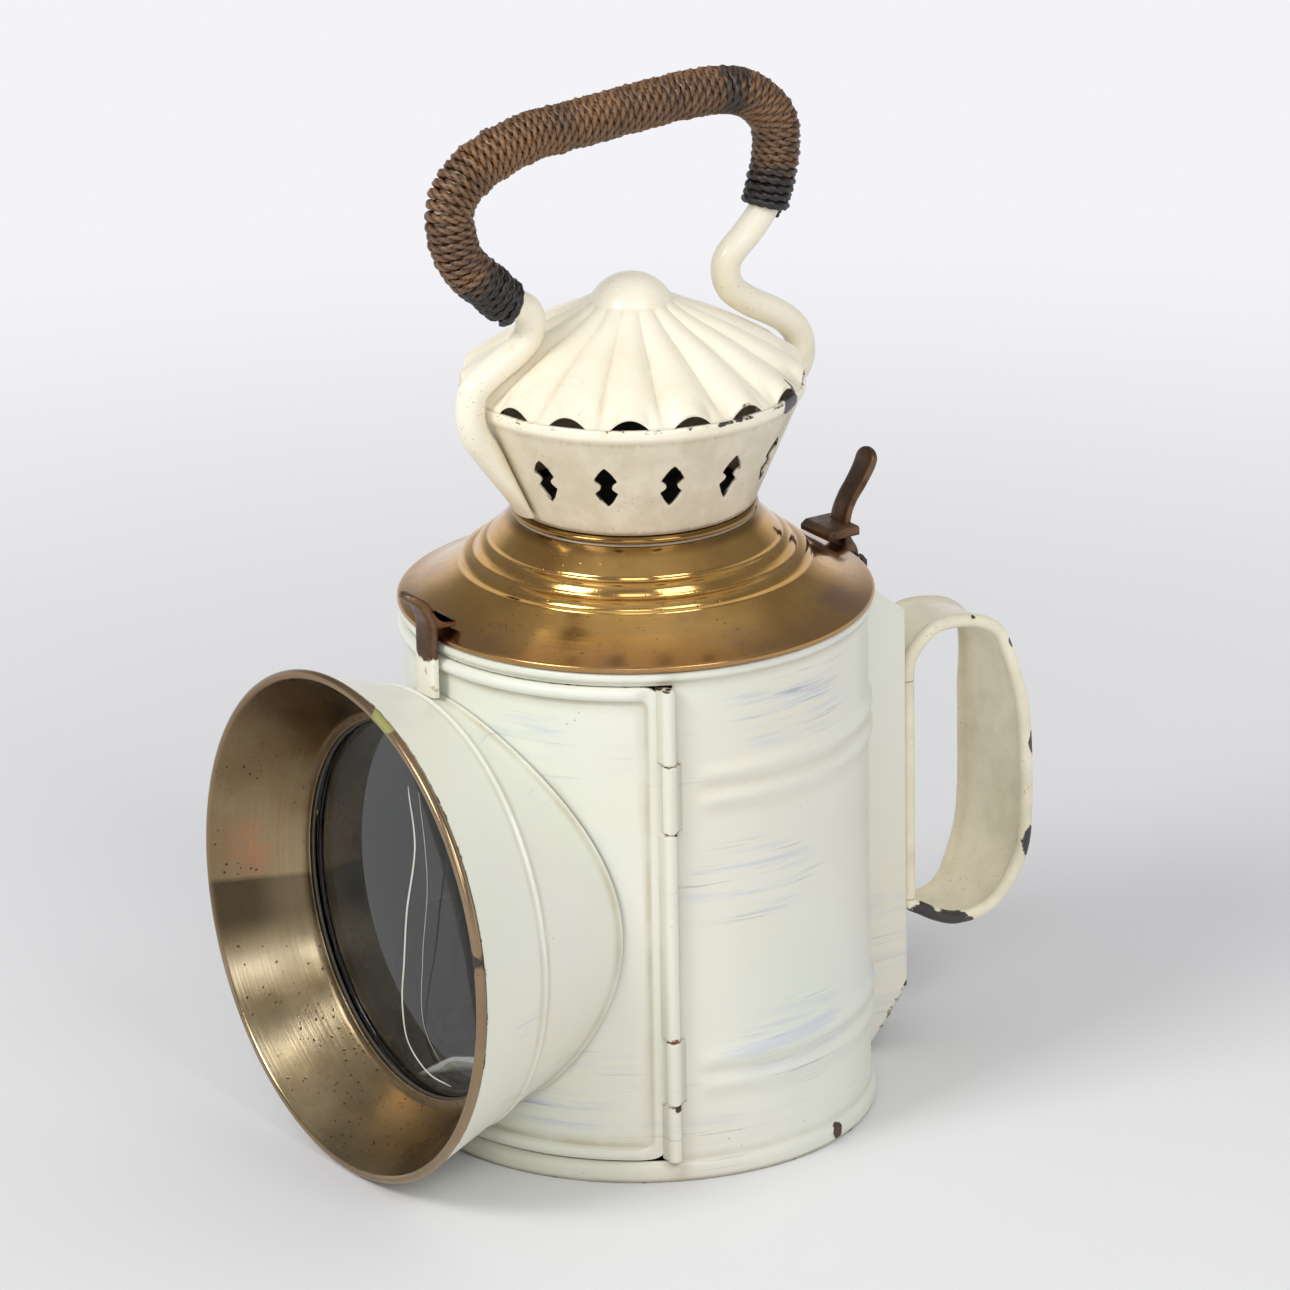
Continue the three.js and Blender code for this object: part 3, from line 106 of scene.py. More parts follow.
def maths(what, swapped=False):
    """A method that joins two amounts, or an amount and a number, by a maths node."""

    def join(self, other):
        first, second = (other, self) if swapped else (self, other)
        return self.finish.node("ShaderNodeMath", {"operation": what}, {0: first, 1: second})

    return join


class Amount:
    """Something that varies over a surface. Sums and products of amounts make new amounts."""

    def __init__(self, finish, socket):
        self.finish, self.socket = finish, socket

    __add__, __radd__ = maths("ADD"), maths("ADD", True)
    __sub__, __rsub__ = maths("SUBTRACT"), maths("SUBTRACT", True)
    __mul__, __rmul__ = maths("MULTIPLY"), maths("MULTIPLY", True)
    __truediv__ = maths("DIVIDE")
    most, least = maths("MAXIMUM"), maths("MINIMUM")

    def step(self, low, high, start=0.0, end=1.0):
        """A soft step from start, where this is at low, to end, where it is at high."""
        return self.finish.node(
            "ShaderNodeMapRange",
            {"interpolation_type": "SMOOTHSTEP", "clamp": True},
            {"Value": self, 1: low, 2: high, 3: start, 4: end},
        )


class Shading:
    """Nodes that are put together in one tree."""

    def __init__(self, tree):
        self.tree = tree
        self.tree.nodes.clear()
        self.place = self.node("ShaderNodeTexCoord", {}, {}, "Object")

    def node(self, kind, settings, inputs, output=0):
        """One node of a kind with its settings and inputs. Gives the output asked for."""
        made = self.tree.nodes.new(kind)
        for name, value in settings.items():
            setattr(made, name, value)
        for name, value in inputs.items():
            if isinstance(value, Amount):
                self.tree.links.new(value.socket, made.inputs[name])
            else:
                made.inputs[name].default_value = value
        return Amount(self, made.outputs[output])

    def mix(self, share, first, second):
        """The first colour where the share is 0 and the second where it is 1."""
        first, second = (c if isinstance(c, Amount) else srgb(c) for c in (first, second))
        settings = {"data_type": "RGBA", "clamp_factor": True}
        return self.node("ShaderNodeMix", settings, {0: share, 6: first, 7: second}, 2)

    def seen(self):
        """1 for what the eye, metal and glass see, and 0 for what only lights a surface."""
        rays = ("Is Camera Ray", "Is Glossy Ray", "Is Transmission Ray")
        eye, gloss, glass = (self.node("ShaderNodeLightPath", {}, {}, ray) for ray in rays)
        return eye.most(gloss).most(glass)

    def end(self, kind, shader):
        self.tree.links.new(shader.socket, self.tree.nodes.new(kind).inputs["Surface"])


class Finish(Shading):
    """A material that is put together from nodes. Its tone is the colour laid on so far."""

    def __init__(self, name):
        self.material = bpy.data.materials.new(name)
        self.material.use_nodes = True
        super().__init__(self.material.node_tree)
        self.tone = None

    def tint(self, share, colour):
        """Lays a colour over the tone by that share."""
        self.tone = self.mix(share, self.tone, colour)

    def stretched(self, by, shift=(0.0, 0.0, 0.0)):
        """The place on the surface, stretched along each axis and shifted."""
        return self.node("ShaderNodeMapping", {}, {"Vector": self.place, "Scale": by, "Location": shift})

    def noise(self, scale, detail, roughness, place=None):
        inputs = {"Vector": place or self.place, "Scale": scale, "Detail": detail, "Roughness": roughness}
        return self.node("ShaderNodeTexNoise", {}, inputs)

    def patchy(self, scale, detail, roughness, start=0.0, end=1.0):
        """Noise that is spread from start to end."""
        return self.noise(scale, detail, roughness).step(0.3, 0.7, start, end)

    def lines(self, scale, radius, depth):
        """Fine lines that were turned round an axis."""
        place = self.node("ShaderNodeCombineXYZ", {}, {0: radius * MM, 1: depth * MM})
        return self.noise(scale, 3, 0.6, place)

    def cells(self, scale):
        """The distance to the nearest of many scattered points."""
        return self.node("ShaderNodeTexVoronoi", {"feature": "F1"}, {"Vector": self.place, "Scale": scale})

    def painted(self, name):
        """An amount that was put on the mesh's points."""
        return self.node("ShaderNodeAttribute", {"attribute_name": name}, {}, "Fac")

    def part(self, axis):
        """The place's x, y or z in millimetres."""
        return self.node("ShaderNodeSeparateXYZ", {}, {0: self.place}, axis) * 1000

    def off(self, centre=(0.0, 0.0, 0.0), flat=(1.0, 1.0, 1.0)):
        """How far the place is from a point in millimetres, each axis stretched by flat."""
        ends = {0: self.stretched(flat), 1: tuple(c * f * MM for c, f in zip(centre, flat))}
        return self.node("ShaderNodeVectorMath", {"operation": "DISTANCE"}, ends, "Value") * 1000

    def spot(self, centre, size, ragged=0.6, scale=260, flat=(1.0, 1.0, 1.0)):
        """1 inside a ragged patch about a point and 0 outside it. The size is the patch's radius, and flat
        makes it narrower along an axis."""
        edge = self.off(centre, flat) / size + (self.noise(scale, 3, 0.65) - 0.5) * (2 * ragged)
        return edge.step(1.08, 0.92)

    def near(self, centre, size, flat):
        """A soft mound that is 1 at a point and fades out at the size's distance."""
        return (self.off(centre, flat) / size).step(1.0, 0.0)

    def chips(self, spots, bare):
        """Lays known spots over the tone, and adds them to what is bare: each is a centre, a radius, a
        colour and how it is flattened."""
        for centre, size, colour, *flat in spots:
            here = self.spot(centre, size, 0.6, 260, *flat)
            self.tint(here, colour)
            bare = bare.most(here)
        return bare

    def bump(self, height, depth):
        """A normal for a height from 0 to 1 whose full depth is in millimetres."""
        return self.node("ShaderNodeBump", {}, {"Strength": 1.0, "Distance": depth * MM, "Height": height})

    def principled(self, **inputs):
        """The tone as a surface. Names with _ stand for the shader's names with spaces."""
        inputs = {name.replace("_", " "): value for name, value in inputs.items()}
        return self.node("ShaderNodeBsdfPrincipled", {}, {"Base Color": self.tone, **inputs})

    def surface(self, **inputs):
        self.end("ShaderNodeOutputMaterial", self.principled(**inputs))
        return self.material


STREAKS = [  # middles and sizes of the places where the white paint is brushed thin, flat in height
    ((69, 12, 142), 34), ((70, -5, 93), 40), ((69, 11, 38), 42), ((41, -57, 22), 26), ((34, -61, 140), 22),
    ((-70, 0, 60), 40), ((-60, 36, 120), 36), ((30, 64, 40), 34), ((-40, -57, 30), 24),
]


def white_paint(name, spots):
    """Brushed greenish white paint: bluish streaks run level round the lamp where it is brushed thin, with
    fine scratches, rusty chips where it is worn, brown darkening in the creases that is dirt and, in the
    swages' grooves and under the top bead, painted shade, and chips at known spots."""
    f = Finish(name)
    brushed = f.noise(120, 5, 0.6, f.stretched((0.16, 0.16, 2.6)))
    hair = f.noise(170, 4, 0.65, f.stretched((0.12, 0.12, 5.0), (0.3, 0.1, 0.7)))
    thin = f.noise(17, 3, 0.5).step(0.5, 0.66) * 0.4
    for centre, size in STREAKS:
        thin = thin.most(f.near(centre, size, (1.0, 1.0, 1.9)))
    f.tone = f.mix(f.noise(9, 3, 0.5).step(0.35, 0.68) * 0.6, (231, 232, 221), (230, 223, 203))
    f.tint(f.noise(13, 3, 0.5, f.stretched((1, 1, 1), (3, 1, 2))).step(0.45, 0.7) * 0.5, (222, 228, 212))
    f.tint(brushed.step(0.46, 0.66) * thin.step(0.1, 0.75) * 0.75, (203, 208, 217))
    f.tint(hair.step(0.58, 0.68) * thin.step(0.05, 0.7) * 0.6, (142, 152, 166))
    # Brown darkening: dirt, and painted shade in the swages' grooves and under the top bead.
    f.tint(f.painted("grime") * f.patchy(60, 4, 0.6, 0.5) * 0.62, (168, 154, 118))
    pits = f.cells(330).step(0.12, 0.06) * f.noise(45, 2, 0.5).step(0.62, 0.7)
    f.tint(pits * 0.55, (134, 112, 84))
    ragged = f.painted("wear") * 0.62 + f.noise(190, 5, 0.68, f.stretched((1, 1, 1.3)))
    bare = ragged.step(0.99, 1.03)
    f.tint(ragged.step(0.93, 0.99) * 0.55, (184, 160, 122))
    f.tint(bare, f.mix(f.noise(140, 3, 0.6).step(0.4, 0.6), (86, 62, 44), (48, 42, 38)))
    bare = f.chips(spots, bare)
    height = brushed * 0.5 + hair * 0.25 + f.noise(420, 3, 0.6) * 0.3 + f.noise(60, 2, 0.5) * 0.9 - bare * 0.9
    return f.surface(
        Roughness=f.patchy(70, 3, 0.5, 0.3, 0.44) + bare * 0.25,
        Normal=f.bump(height, 0.07),
        Coat_Weight=0.12,
        Coat_Roughness=0.2,
        Specular_IOR_Level=0.45,
    )


def cream_paint(name, spots, base=(249, 242, 222), shade=(238, 228, 202), dust=0.0):
    """Thick warm cream paint with tiny brown specks, faint stains, dark chips at worn edges, and spots where
    the metal shows. Dust greys it in patches."""
    f = Finish(name)
    f.tone = f.mix(f.noise(22, 4, 0.55).step(0.4, 0.75), base, shade)
    speck = f.cells(520).step(0.16, 0.09) * f.noise(30, 3, 0.6).step(0.48, 0.62)
    f.tint(speck * 0.6, (160, 124, 80))
    f.tint(f.noise(70, 5, 0.7).step(0.6, 0.8) * 0.5, (206, 190, 150))
    if dust:
        dirty = f.noise(34, 5, 0.65).step(0.42, 0.7) * f.noise(150, 4, 0.6).step(0.3, 0.6, 0.5, 1.0)
        f.tint(dirty * dust, (186, 178, 146))
    # Darkening tint: dirt on the cap, handle and bail; on the chimney cone it is painted shade.
    f.tint(f.painted("grime") * f.noise(90, 4, 0.6).step(0.25, 0.7, 0.35, 1.0) * 0.6, (172, 154, 116))
    ragged = f.painted("wear") * 0.62 + f.noise(150, 5, 0.68)
    bare = ragged.step(0.985, 1.02)
    f.tint(ragged.step(0.94, 0.985) * 0.5, (180, 156, 116))
    f.tint(bare, (58, 54, 54))
    bare = f.chips(spots, bare)
    height = f.noise(130, 4, 0.6) * 0.7 + f.noise(500, 2, 0.5) * 0.3 - speck * 0.7 - bare * 1.4
    return f.surface(
        Roughness=f.patchy(50, 3, 0.5, 0.26, 0.4) + bare * 0.15,
        Normal=f.bump(height, 0.08),
        Coat_Weight=0.2,
        Coat_Roughness=0.18,
    )


def spun_brass():
    """Old spun brass: golden where it is rubbed, browner and mottled towards the brim, with turning lines,
    brown flecks, thin grey dirt lines in its creases and a red stain."""
    f = Finish("spun_brass")
    radius = f.off(flat=(1.0, 1.0, 0.0))
    f.tone = f.mix(f.noise(26, 4, 0.6).step(0.32, 0.68), (216, 174, 104), (190, 146, 82))
    f.tint(radius.step(56, 70) * 0.7, (170, 130, 88))
    blotch = f.noise(34, 5, 0.65, f.stretched((1, 1, 1.8))).step(0.5, 0.7)
    f.tint(blotch * radius.step(44, 66, 0.15, 0.75), (166, 130, 104))
    f.tint(radius.step(40, 37.6) * 0.7, (118, 90, 52))
    flecks = f.cells(430).step(0.17, 0.09) * f.noise(38, 2, 0.5).step(0.48, 0.6)
    f.tint(flecks * 0.6, (84, 58, 34))
    dirty = (f.painted("grime") * 1.1 + f.noise(110, 5, 0.7) * 0.6).step(0.9, 1.15)
    f.tint(dirty * 0.7, (168, 166, 156))
    f.tint(f.spot((13.0, -62.6, 172.3), 3.8, 0.7, 200) * 0.6, (178, 84, 56))
    lines = f.lines(700, radius, f.part("Z"))
    return f.surface(
        Metallic=1.0 - dirty * 0.6,
        Roughness=f.patchy(48, 4, 0.6, 0.1, 0.18) + radius.step(56, 70) * 0.07 + dirty * 0.3,
        Normal=f.bump(lines * 0.45 + f.noise(45, 2, 0.5) * 1.1 - flecks * 0.5, 0.045),
    )


def liner_brass():
    """Worn nickel over brass inside the hood: greyish, dark brown at its top, a copper patch, a dark band at
    its side that is a painted reflection of a dark room, two pale patches low on its side that are painted
    highlights, lines turned round it and many small dark pits. The rim is browner, with a green chip."""
    f = Finish("liner_brass")
    f.tone = f.mix(f.patchy(30, 4, 0.6), (160, 144, 112), (132, 114, 84))
    lines = f.lines(900, f.off((0, 0, LENS_HEIGHT), (1, 0, 1)), f.part("Y") * -1)
    f.tint(f.painted("brown") * f.noise(26, 4, 0.6).step(0.2, 0.6, 0.6, 1.0), (104, 82, 54))
    f.tint(f.painted("copper") * f.noise(60, 5, 0.7).step(0.38, 0.62) * 0.75, (186, 132, 98))
    purple = f.noise(44, 4, 0.6, f.stretched((1, 1, 1), (2, 4, 1))).step(0.5, 0.66)
    f.tint(f.painted("copper") * purple * 0.45, (140, 116, 122))
    # Painted reflection: a dark band at the side, standing for a dark room mirrored in the brass.
    f.tint(f.painted("dark") * 0.9, (72, 62, 47))
    # Painted highlight: pale patches where the lamps' reflections fall.
    f.tint(f.painted("pale") * f.noise(50, 4, 0.6).step(0.1, 0.7) * 0.4, (214, 204, 180))
    f.tint(lines.step(0.35, 0.75) * 0.16, (96, 80, 56))
    pits = f.cells(380).step(0.2, 0.11) * (f.noise(30, 3, 0.55) + f.painted("pitted") * 0.2).step(0.48, 0.6)
    f.tint(pits * 0.85, (52, 38, 28))
    stain = (f.painted("grime") + f.noise(75, 5, 0.7) * 0.5).step(0.8, 1.2)
    f.tint(stain * 0.7, (78, 60, 38))
    f.tint(f.painted("rim") * 0.6, (160, 134, 106))
    green, dark = f.spot((27.9, -106.2, 155.5), 5.6, 0.6, 190), f.spot((72.5, -106.2, 92), 5.0, 0.6, 190)
    f.tint(green, (146, 148, 82))
    f.tint(dark, (58, 46, 40))
    cover = (green + dark).least(1.0)
    return f.surface(
        Metallic=1.0 - cover,
        Roughness=f.patchy(35, 4, 0.6, 0.2, 0.32) + stain * 0.2 + cover * 0.3,
        Normal=f.bump(lines * 0.7 + f.noise(40, 2, 0.5) * 0.3 - pits * 0.5, 0.04),
        Anisotropic=0.3,
    )


def dark_bronze(name, low=None):
    """Cast bronze gone brown, rubbed lighter on its edges. Below the low height white paint covers it, with
    a ragged edge and olive chips."""
    f = Finish(name)
    f.tone = f.mix(f.patchy(90, 5, 0.65), (104, 76, 56), (70, 54, 44))
    f.tint(f.noise(40, 3, 0.6).step(0.5, 0.7) * 0.4, (122, 82, 50))
    f.tint(f.painted("wear") * f.noise(160, 4, 0.6).step(0.35, 0.6) * 0.8, (150, 116, 84))
    f.tint(f.noise(240, 4, 0.7).step(0.62, 0.72) * 0.5, (44, 36, 32))
    cover = 0.0
    if low is not None:
        cover = (f.part("Z") + (f.noise(150, 4, 0.7) - 0.5) * 9).step(low + 0.3, low - 0.3)
        white = f.mix(f.patchy(60, 4, 0.6), (240, 238, 224), (226, 220, 200))
        f.tint(cover, f.mix(f.noise(210, 4, 0.65).step(0.6, 0.66) * 0.6, white, (152, 156, 110)))
    return f.surface(
        Metallic=0.7 - cover * 0.7,
        Roughness=f.patchy(120, 4, 0.6, 0.3, 0.5),
        Normal=f.bump(f.noise(210, 4, 0.6) + cover * 1.5, 0.12),
    )


def tarred_cord():
    """Glossy brown tarred twine: painted highlights on the strand tops and painted shade in the gaps between
    strands, black tar at both ends and in a smear.
    """
    f = Finish("tarred_cord")
    high = f.painted("high")
    twine = f.mix(f.noise(60, 3, 0.5).step(0.35, 0.65), (126, 88, 53), (94, 65, 40))
    # Painted shade: the gaps between strands go dark brown.
    f.tone = f.mix(high.step(0.05, 0.6), (40, 27, 18), twine)
    # Painted highlight: the strand tops get lighter.
    f.tint(high.step(0.6, 1.0) * f.noise(260, 3, 0.6).step(0.35, 0.7) * 0.45, (152, 118, 80))
    reach = f.painted("along") + (f.noise(130, 4, 0.6) - 0.5) * 0.09
    tar = reach.step(0.1, 0.055).most(reach.step(0.915, 0.955))
    band = (reach - 0.745) * (reach - 0.745)
    tar = tar.most(band.step(0.0005, 0.0001) * f.noise(70, 3, 0.6).step(0.42, 0.55) * 0.8)
    f.tint(tar * 0.97, (24, 22, 22))
    return f.surface(
        Roughness=f.patchy(150, 3, 0.5, 0.32, 0.5),
        Normal=f.bump(f.noise(900, 3, 0.6), 0.05),
        Coat_Weight=0.14,
        Coat_Roughness=0.28,
    )


def sooty_steel(name, light, dark, metal, rough):
    """Steel sheet darkened by smoke, with browner scuffs."""
    f = Finish(name)
    f.tone = f.mix(f.patchy(50, 5, 0.6), dark, light)
    f.tint(f.noise(210, 4, 0.7).step(0.62, 0.75) * 0.5, (112, 84, 60))
    return f.surface(
        Metallic=metal, Roughness=f.patchy(90, 4, 0.6, *rough), Normal=f.bump(f.noise(160, 4, 0.6), 0.05)
    )


def burner_brass():
    """Brass of the burner, browned by heat."""
    f = Finish("burner_brass")
    f.tone = f.mix(f.patchy(70, 5, 0.6), (178, 136, 74), (112, 78, 46))
    return f.surface(
        Metallic=1.0, Roughness=f.patchy(110, 4, 0.6, 0.25, 0.45), Normal=f.bump(f.noise(230, 4, 0.6), 0.05)
    )


def clear_glass(name, tint=(204, 207, 203)):
    """Thick pressed glass with a faint ripple and a little dust."""
    f = Finish(name)
    f.tone = f.mix(f.noise(30, 3, 0.5), tint, [max(c - 8, 0) for c in tint])
    return f.surface(
        Roughness=f.noise(60, 4, 0.6).step(0.5, 0.8, 0.0, 0.03),
        IOR=1.4,
        Specular_IOR_Level=0.25,
        Transmission_Weight=1.0,
        Normal=f.bump(f.noise(18, 2, 0.5), 0.05),
    )


def plain_soft(name, light, dark, rough, burnt=None):
    """Matt packing or cotton with a fine grain, blackened where the burnt amount is 1."""
    f = Finish(name)
    f.tone = f.mix(f.noise(300, 4, 0.6), dark, light)
    if burnt:
        f.tint((f.painted(burnt) + f.noise(240, 3, 0.6) * 0.3).step(0.4, 1.0), (44, 36, 30))
    return f.surface(
        Roughness=f.patchy(90, 3, 0.5, rough - 0.1, rough), Normal=f.bump(f.noise(700, 3, 0.6), 0.1)
    )


# Shapes


def read(table, at):
    """A two-column table read at those values of its first column."""
    table = np.asarray(table, float)
    return np.interp(at, table[:, 0], table[:, 1])


def ease(t):
    """3t² − 2t³ between 0 and 1."""
    t = clamp(t)
    return t * t * (3 - 2 * t)


def hump(x, centre, width):
    """exp(−((x − centre)/width)²)."""
    return np.exp(-(((x - centre) / width) ** 2))


def softened(values, half):
    """The mean of each value and that many on both its sides."""
    count = 2 * half + 1
    return np.convolve(np.pad(values, half, mode="edge"), np.ones(count) / count, mode="valid")


def around(count, whole=TURN):
    """Even steps once round, from 0 up to the whole turn but without it."""
    return np.linspace(0, whole, count, endpoint=False)


def clamp(values):
    """The values, kept between 0 and 1."""
    return np.clip(values, 0, 1)


def reach_towards(aim, outline):
    """How far an outline round the origin lies in the directions of those angles."""
    at = np.arctan2(outline[:, 1], outline[:, 0])
    return np.interp(aim, at, np.linalg.norm(outline, axis=1), period=TURN)


def unit(vectors):
    """The same directions, each 1 long."""
    return vectors / np.linalg.norm(vectors, axis=1, keepdims=True)


def heading(line):
    """The direction of a line at each of its points."""
    return unit(np.gradient(line, axis=0))


def quarter(flat):
    """Flat directions turned by a quarter to the left: (−v, u)."""
    return np.stack([-flat[:, 1], flat[:, 0]], 1)


def reaches(line):
    """The distance along a line to each of its points."""
    return np.concatenate([[0], np.cumsum(np.linalg.norm(np.diff(line, axis=0), axis=1))])


def picked(at, reach, points):
    """Points read at those values between points that lie at the reach."""
    return np.stack([np.interp(at, reach, part) for part in points.T], axis=1)


def smooth_line(points, count):
    """Count points at equal distances on a smooth line through the points: on each stretch the cubic with
    c0 = P1, c1 = T1, c2 = 3(P2 − P1) − 2T1 − T2, c3 = 2(P1 − P2) + T1 + T2, its tangents T weighed by the
    square roots of the distances between points."""
    p = np.asarray(points, float)
    p = np.vstack([2 * p[0] - p[1], p, 2 * p[-1] - p[-2]])
    gap = np.sqrt(np.linalg.norm(np.diff(p, axis=0), axis=1))[:, None]
    a, b, c, d = p[:-3], p[1:-2], p[2:-1], p[3:]
    ga, gb, gc = gap[:-2], gap[1:-1], gap[2:]
    t1 = ((b - a) / ga - (c - a) / (ga + gb) + (c - b) / gb) * gb
    t2 = ((c - b) / gb - (d - b) / (gb + gc) + (d - c) / gc) * gb
    t = around(40, 1)[None, :, None]
    b, c, t1, t2 = (v[:, None, :] for v in (b, c, t1, t2))
    dense = b + t1 * t + (3 * (c - b) - 2 * t1 - t2) * t**2 + (2 * (b - c) + t1 + t2) * t**3
    dense = np.vstack([dense.reshape(-1, p.shape[1]), p[-2]])
    reach = reaches(dense)
    return picked(np.linspace(0, reach[-1], count), reach, dense)


def rounded(points, radius, steps, closed=True):
    """The points with each corner P replaced by the curve (1−t)²A + 2t(1−t)P + t²B, where A and B lie up to
    the radius away along its two sides. The radius is one number or one for each point."""
    p = np.asarray(points, float)
    to_a, to_b = np.roll(p, 1, axis=0) - p, np.roll(p, -1, axis=0) - p
    len_a, len_b = (np.linalg.norm(v, axis=1, keepdims=True) for v in (to_a, to_b))
    r = np.broadcast_to(np.asarray(radius, float).reshape(-1, 1), (len(p), 1)).copy()
    if not closed:
        r[0] = r[-1] = 0
    cut = np.minimum(r, 0.48 * np.minimum(len_a, len_b))
    a = p + to_a / np.maximum(len_a, 1e-9) * cut
    b = p + to_b / np.maximum(len_b, 1e-9) * cut
    t = np.linspace(0, 1, steps + 1)[None, :, None]
    line = ((1 - t) ** 2) * a[:, None] + 2 * t * (1 - t) * p[:, None] + t**2 * b[:, None]
    line = line.reshape(-1, p.shape[1])
    return line[np.diff(reaches(line), prepend=-1) > 1e-6]


def finer(points, longest, closed=True):
    """The same line with more points, so that none of its steps is longer than that."""
    p = np.asarray(points, float)
    ring = np.vstack([p, p[:1]]) if closed else p
    reach = reaches(ring)
    at = np.unique(np.round(np.concatenate([reach, np.arange(0, reach[-1], longest)]), 5))
    return picked(at[:-1] if closed else at, reach, ring)


def polar(radius, azimuth, height):
    """Points at a radius, an azimuth in degrees and a height."""
    radius, angle, height = np.broadcast_arrays(radius, np.radians(azimuth), height)
    return np.stack([radius * np.cos(angle), radius * np.sin(angle), height], axis=-1)


def about_lens(radius, degrees, depth):
    """Points round the lens's axis: x = r cos a, y = −depth, z = lens height + r sin a."""
    return polar(radius, degrees, depth)[..., [0, 2, 1]] * [1, -1, 1] + [0, 0, LENS_HEIGHT]


class Skin:
    """A mesh gathered from grids of points."""

    def __init__(self):
        self.points, self.faces, self.inner, self.amounts, self.count = [], [], [], {}, 0

    def grid(self, xyz, round_u=False, round_v=False, keep=True, inner=False, lids=False, **amounts):
        """Quads between the points of a grid (u, v, 3); the ends are joined where it goes round. Keep marks
        the quads to make, inner those that get the second material, and lids put a flat face over both
        ends. Amounts are numbers to put on the points."""
        nu, nv = xyz.shape[:2]
        index = np.arange(nu * nv).reshape(nu, nv) + self.count
        u, v = np.arange(nu if round_u else nu - 1), np.arange(nv if round_v else nv - 1)
        i, j = np.meshgrid(u, v, indexing="ij")
        i1, j1 = (i + 1) % nu, (j + 1) % nv
        quads = np.stack([index[i, j], index[i1, j], index[i1, j1], index[i, j1]], axis=-1)
        kept, second = (np.broadcast_to(mark, i.shape) for mark in (keep, inner))
        self.points.append(xyz.reshape(-1, 3))
        self.faces += quads[kept].tolist()
        self.inner += second[kept].tolist()
        if lids:
            self.faces += [index[0][::-1].tolist(), index[-1].tolist()]
            self.inner += [False, False]
        for name, value in amounts.items():
            part = np.broadcast_to(value, (nu, nv)).reshape(-1)
            self.amounts.setdefault(name, []).append((self.count, part))
        self.count += nu * nv
        return self

    def mesh(self, name, *materials):
        mesh = bpy.data.meshes.new(name)
        mesh.from_pydata((np.vstack(self.points) * MM).tolist(), [], self.faces)
        for material in materials:
            mesh.materials.append(material)
        return mesh

    def piece(self, name, materials, body, replaces=(), slot=None, sharp=40, merge=1e-6):
        """The finished piece: merged, faces outward, smooth but for its sharp edges. Of two materials the
        second is for the inner faces."""
        mesh = self.mesh(name, *materials) if isinstance(materials, tuple) else self.mesh(name, materials)
        if len(mesh.materials) > 1:
            mesh.polygons.foreach_set("material_index", np.array(self.inner, dtype=np.int32))
        for key, parts in self.amounts.items():
            values = np.zeros(self.count)
            for start, part in parts:
                values[start : start + len(part)] = part
            mesh.attributes.new(key, "FLOAT", "POINT").data.foreach_set("value", values)
        work = bmesh.new()
        work.from_mesh(mesh)
        bmesh.ops.remove_doubles(work, verts=work.verts, dist=merge)
        bmesh.ops.delete(work, geom=[v for v in work.verts if not v.link_faces], context="VERTS")
        bmesh.ops.recalc_face_normals(work, faces=work.faces)
        work.to_mesh(mesh)
        work.free()
        mesh.shade_smooth()
        mesh.set_sharp_from_angle(angle=math.radians(sharp))
        made = add_object(name, mesh)
        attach(made, body)
        if replaces:
            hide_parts(*replaces)
        return made


def thicken(piece, thickness, inner_material=0):
    """Gives a sheet its thickness, inward."""
    sheet = piece.modifiers.new("sheet", "SOLIDIFY")
    sheet.thickness, sheet.offset, sheet.material_offset = thickness * MM, -1, inner_material


def turned(profile, steps, turn=polar, **amounts):
    """A solid turned about an axis: the closed profile (radius, height) at each of the steps' angles."""
    profile = np.asarray(profile, float)
    angle = around(steps, 360)[:, None]
    return Skin().grid(turn(profile[None, :, 0], angle, profile[None, :, 1]), True, True, **amounts)


def swept(line, normal, section, side=ACROSS, **amounts):
    """Sections (u, v) carried along a line: P + u·side + v·normal, with flat lids. The section may change
    from point to point."""
    section = np.broadcast_to(section, (len(line), *section.shape[-2:]))
    side, normal = (np.broadcast_to(v, line.shape)[:, None] for v in (side, normal))
    xyz = line[:, None] + section[..., :1] * side + section[..., 1:] * normal
    return Skin().grid(xyz, round_v=True, lids=True, **amounts)


def upright_line(points, count):
    """A smooth line in the plane of y and z, and its normals in that plane."""
    flat = smooth_line(points, count)
    return (np.hstack([np.zeros((count, 1)), part]) for part in (flat, quarter(heading(flat))))


def slab(outline, width, bevel, wear):
    """A plate in the plane of y and z: its outline drawn in by the bevel at both faces, round an arc."""
    p = np.asarray(outline, float)
    area = np.sum(p[:, 0] * np.roll(p[:, 1], -1) - np.roll(p[:, 0], -1) * p[:, 1])
    p = p if area > 0 else p[::-1]
    inward = quarter(unit(np.roll(p, -1, axis=0) - np.roll(p, 1, axis=0)))
    arc = np.linspace(0, math.pi / 2, 4)
    inset, drop = bevel * (1 - np.sin(arc)), bevel * (1 - np.cos(arc))
    inset = np.concatenate([inset, inset[::-1]])[:, None, None]
    x = np.concatenate([drop - width / 2, (width / 2 - drop)[::-1]])[:, None, None]
    ring = p + inward * inset
    xyz = np.concatenate([np.broadcast_to(x, (*ring.shape[:2], 1)), ring], axis=2)
    return Skin().grid(xyz, round_v=True, lids=True, wear=wear)


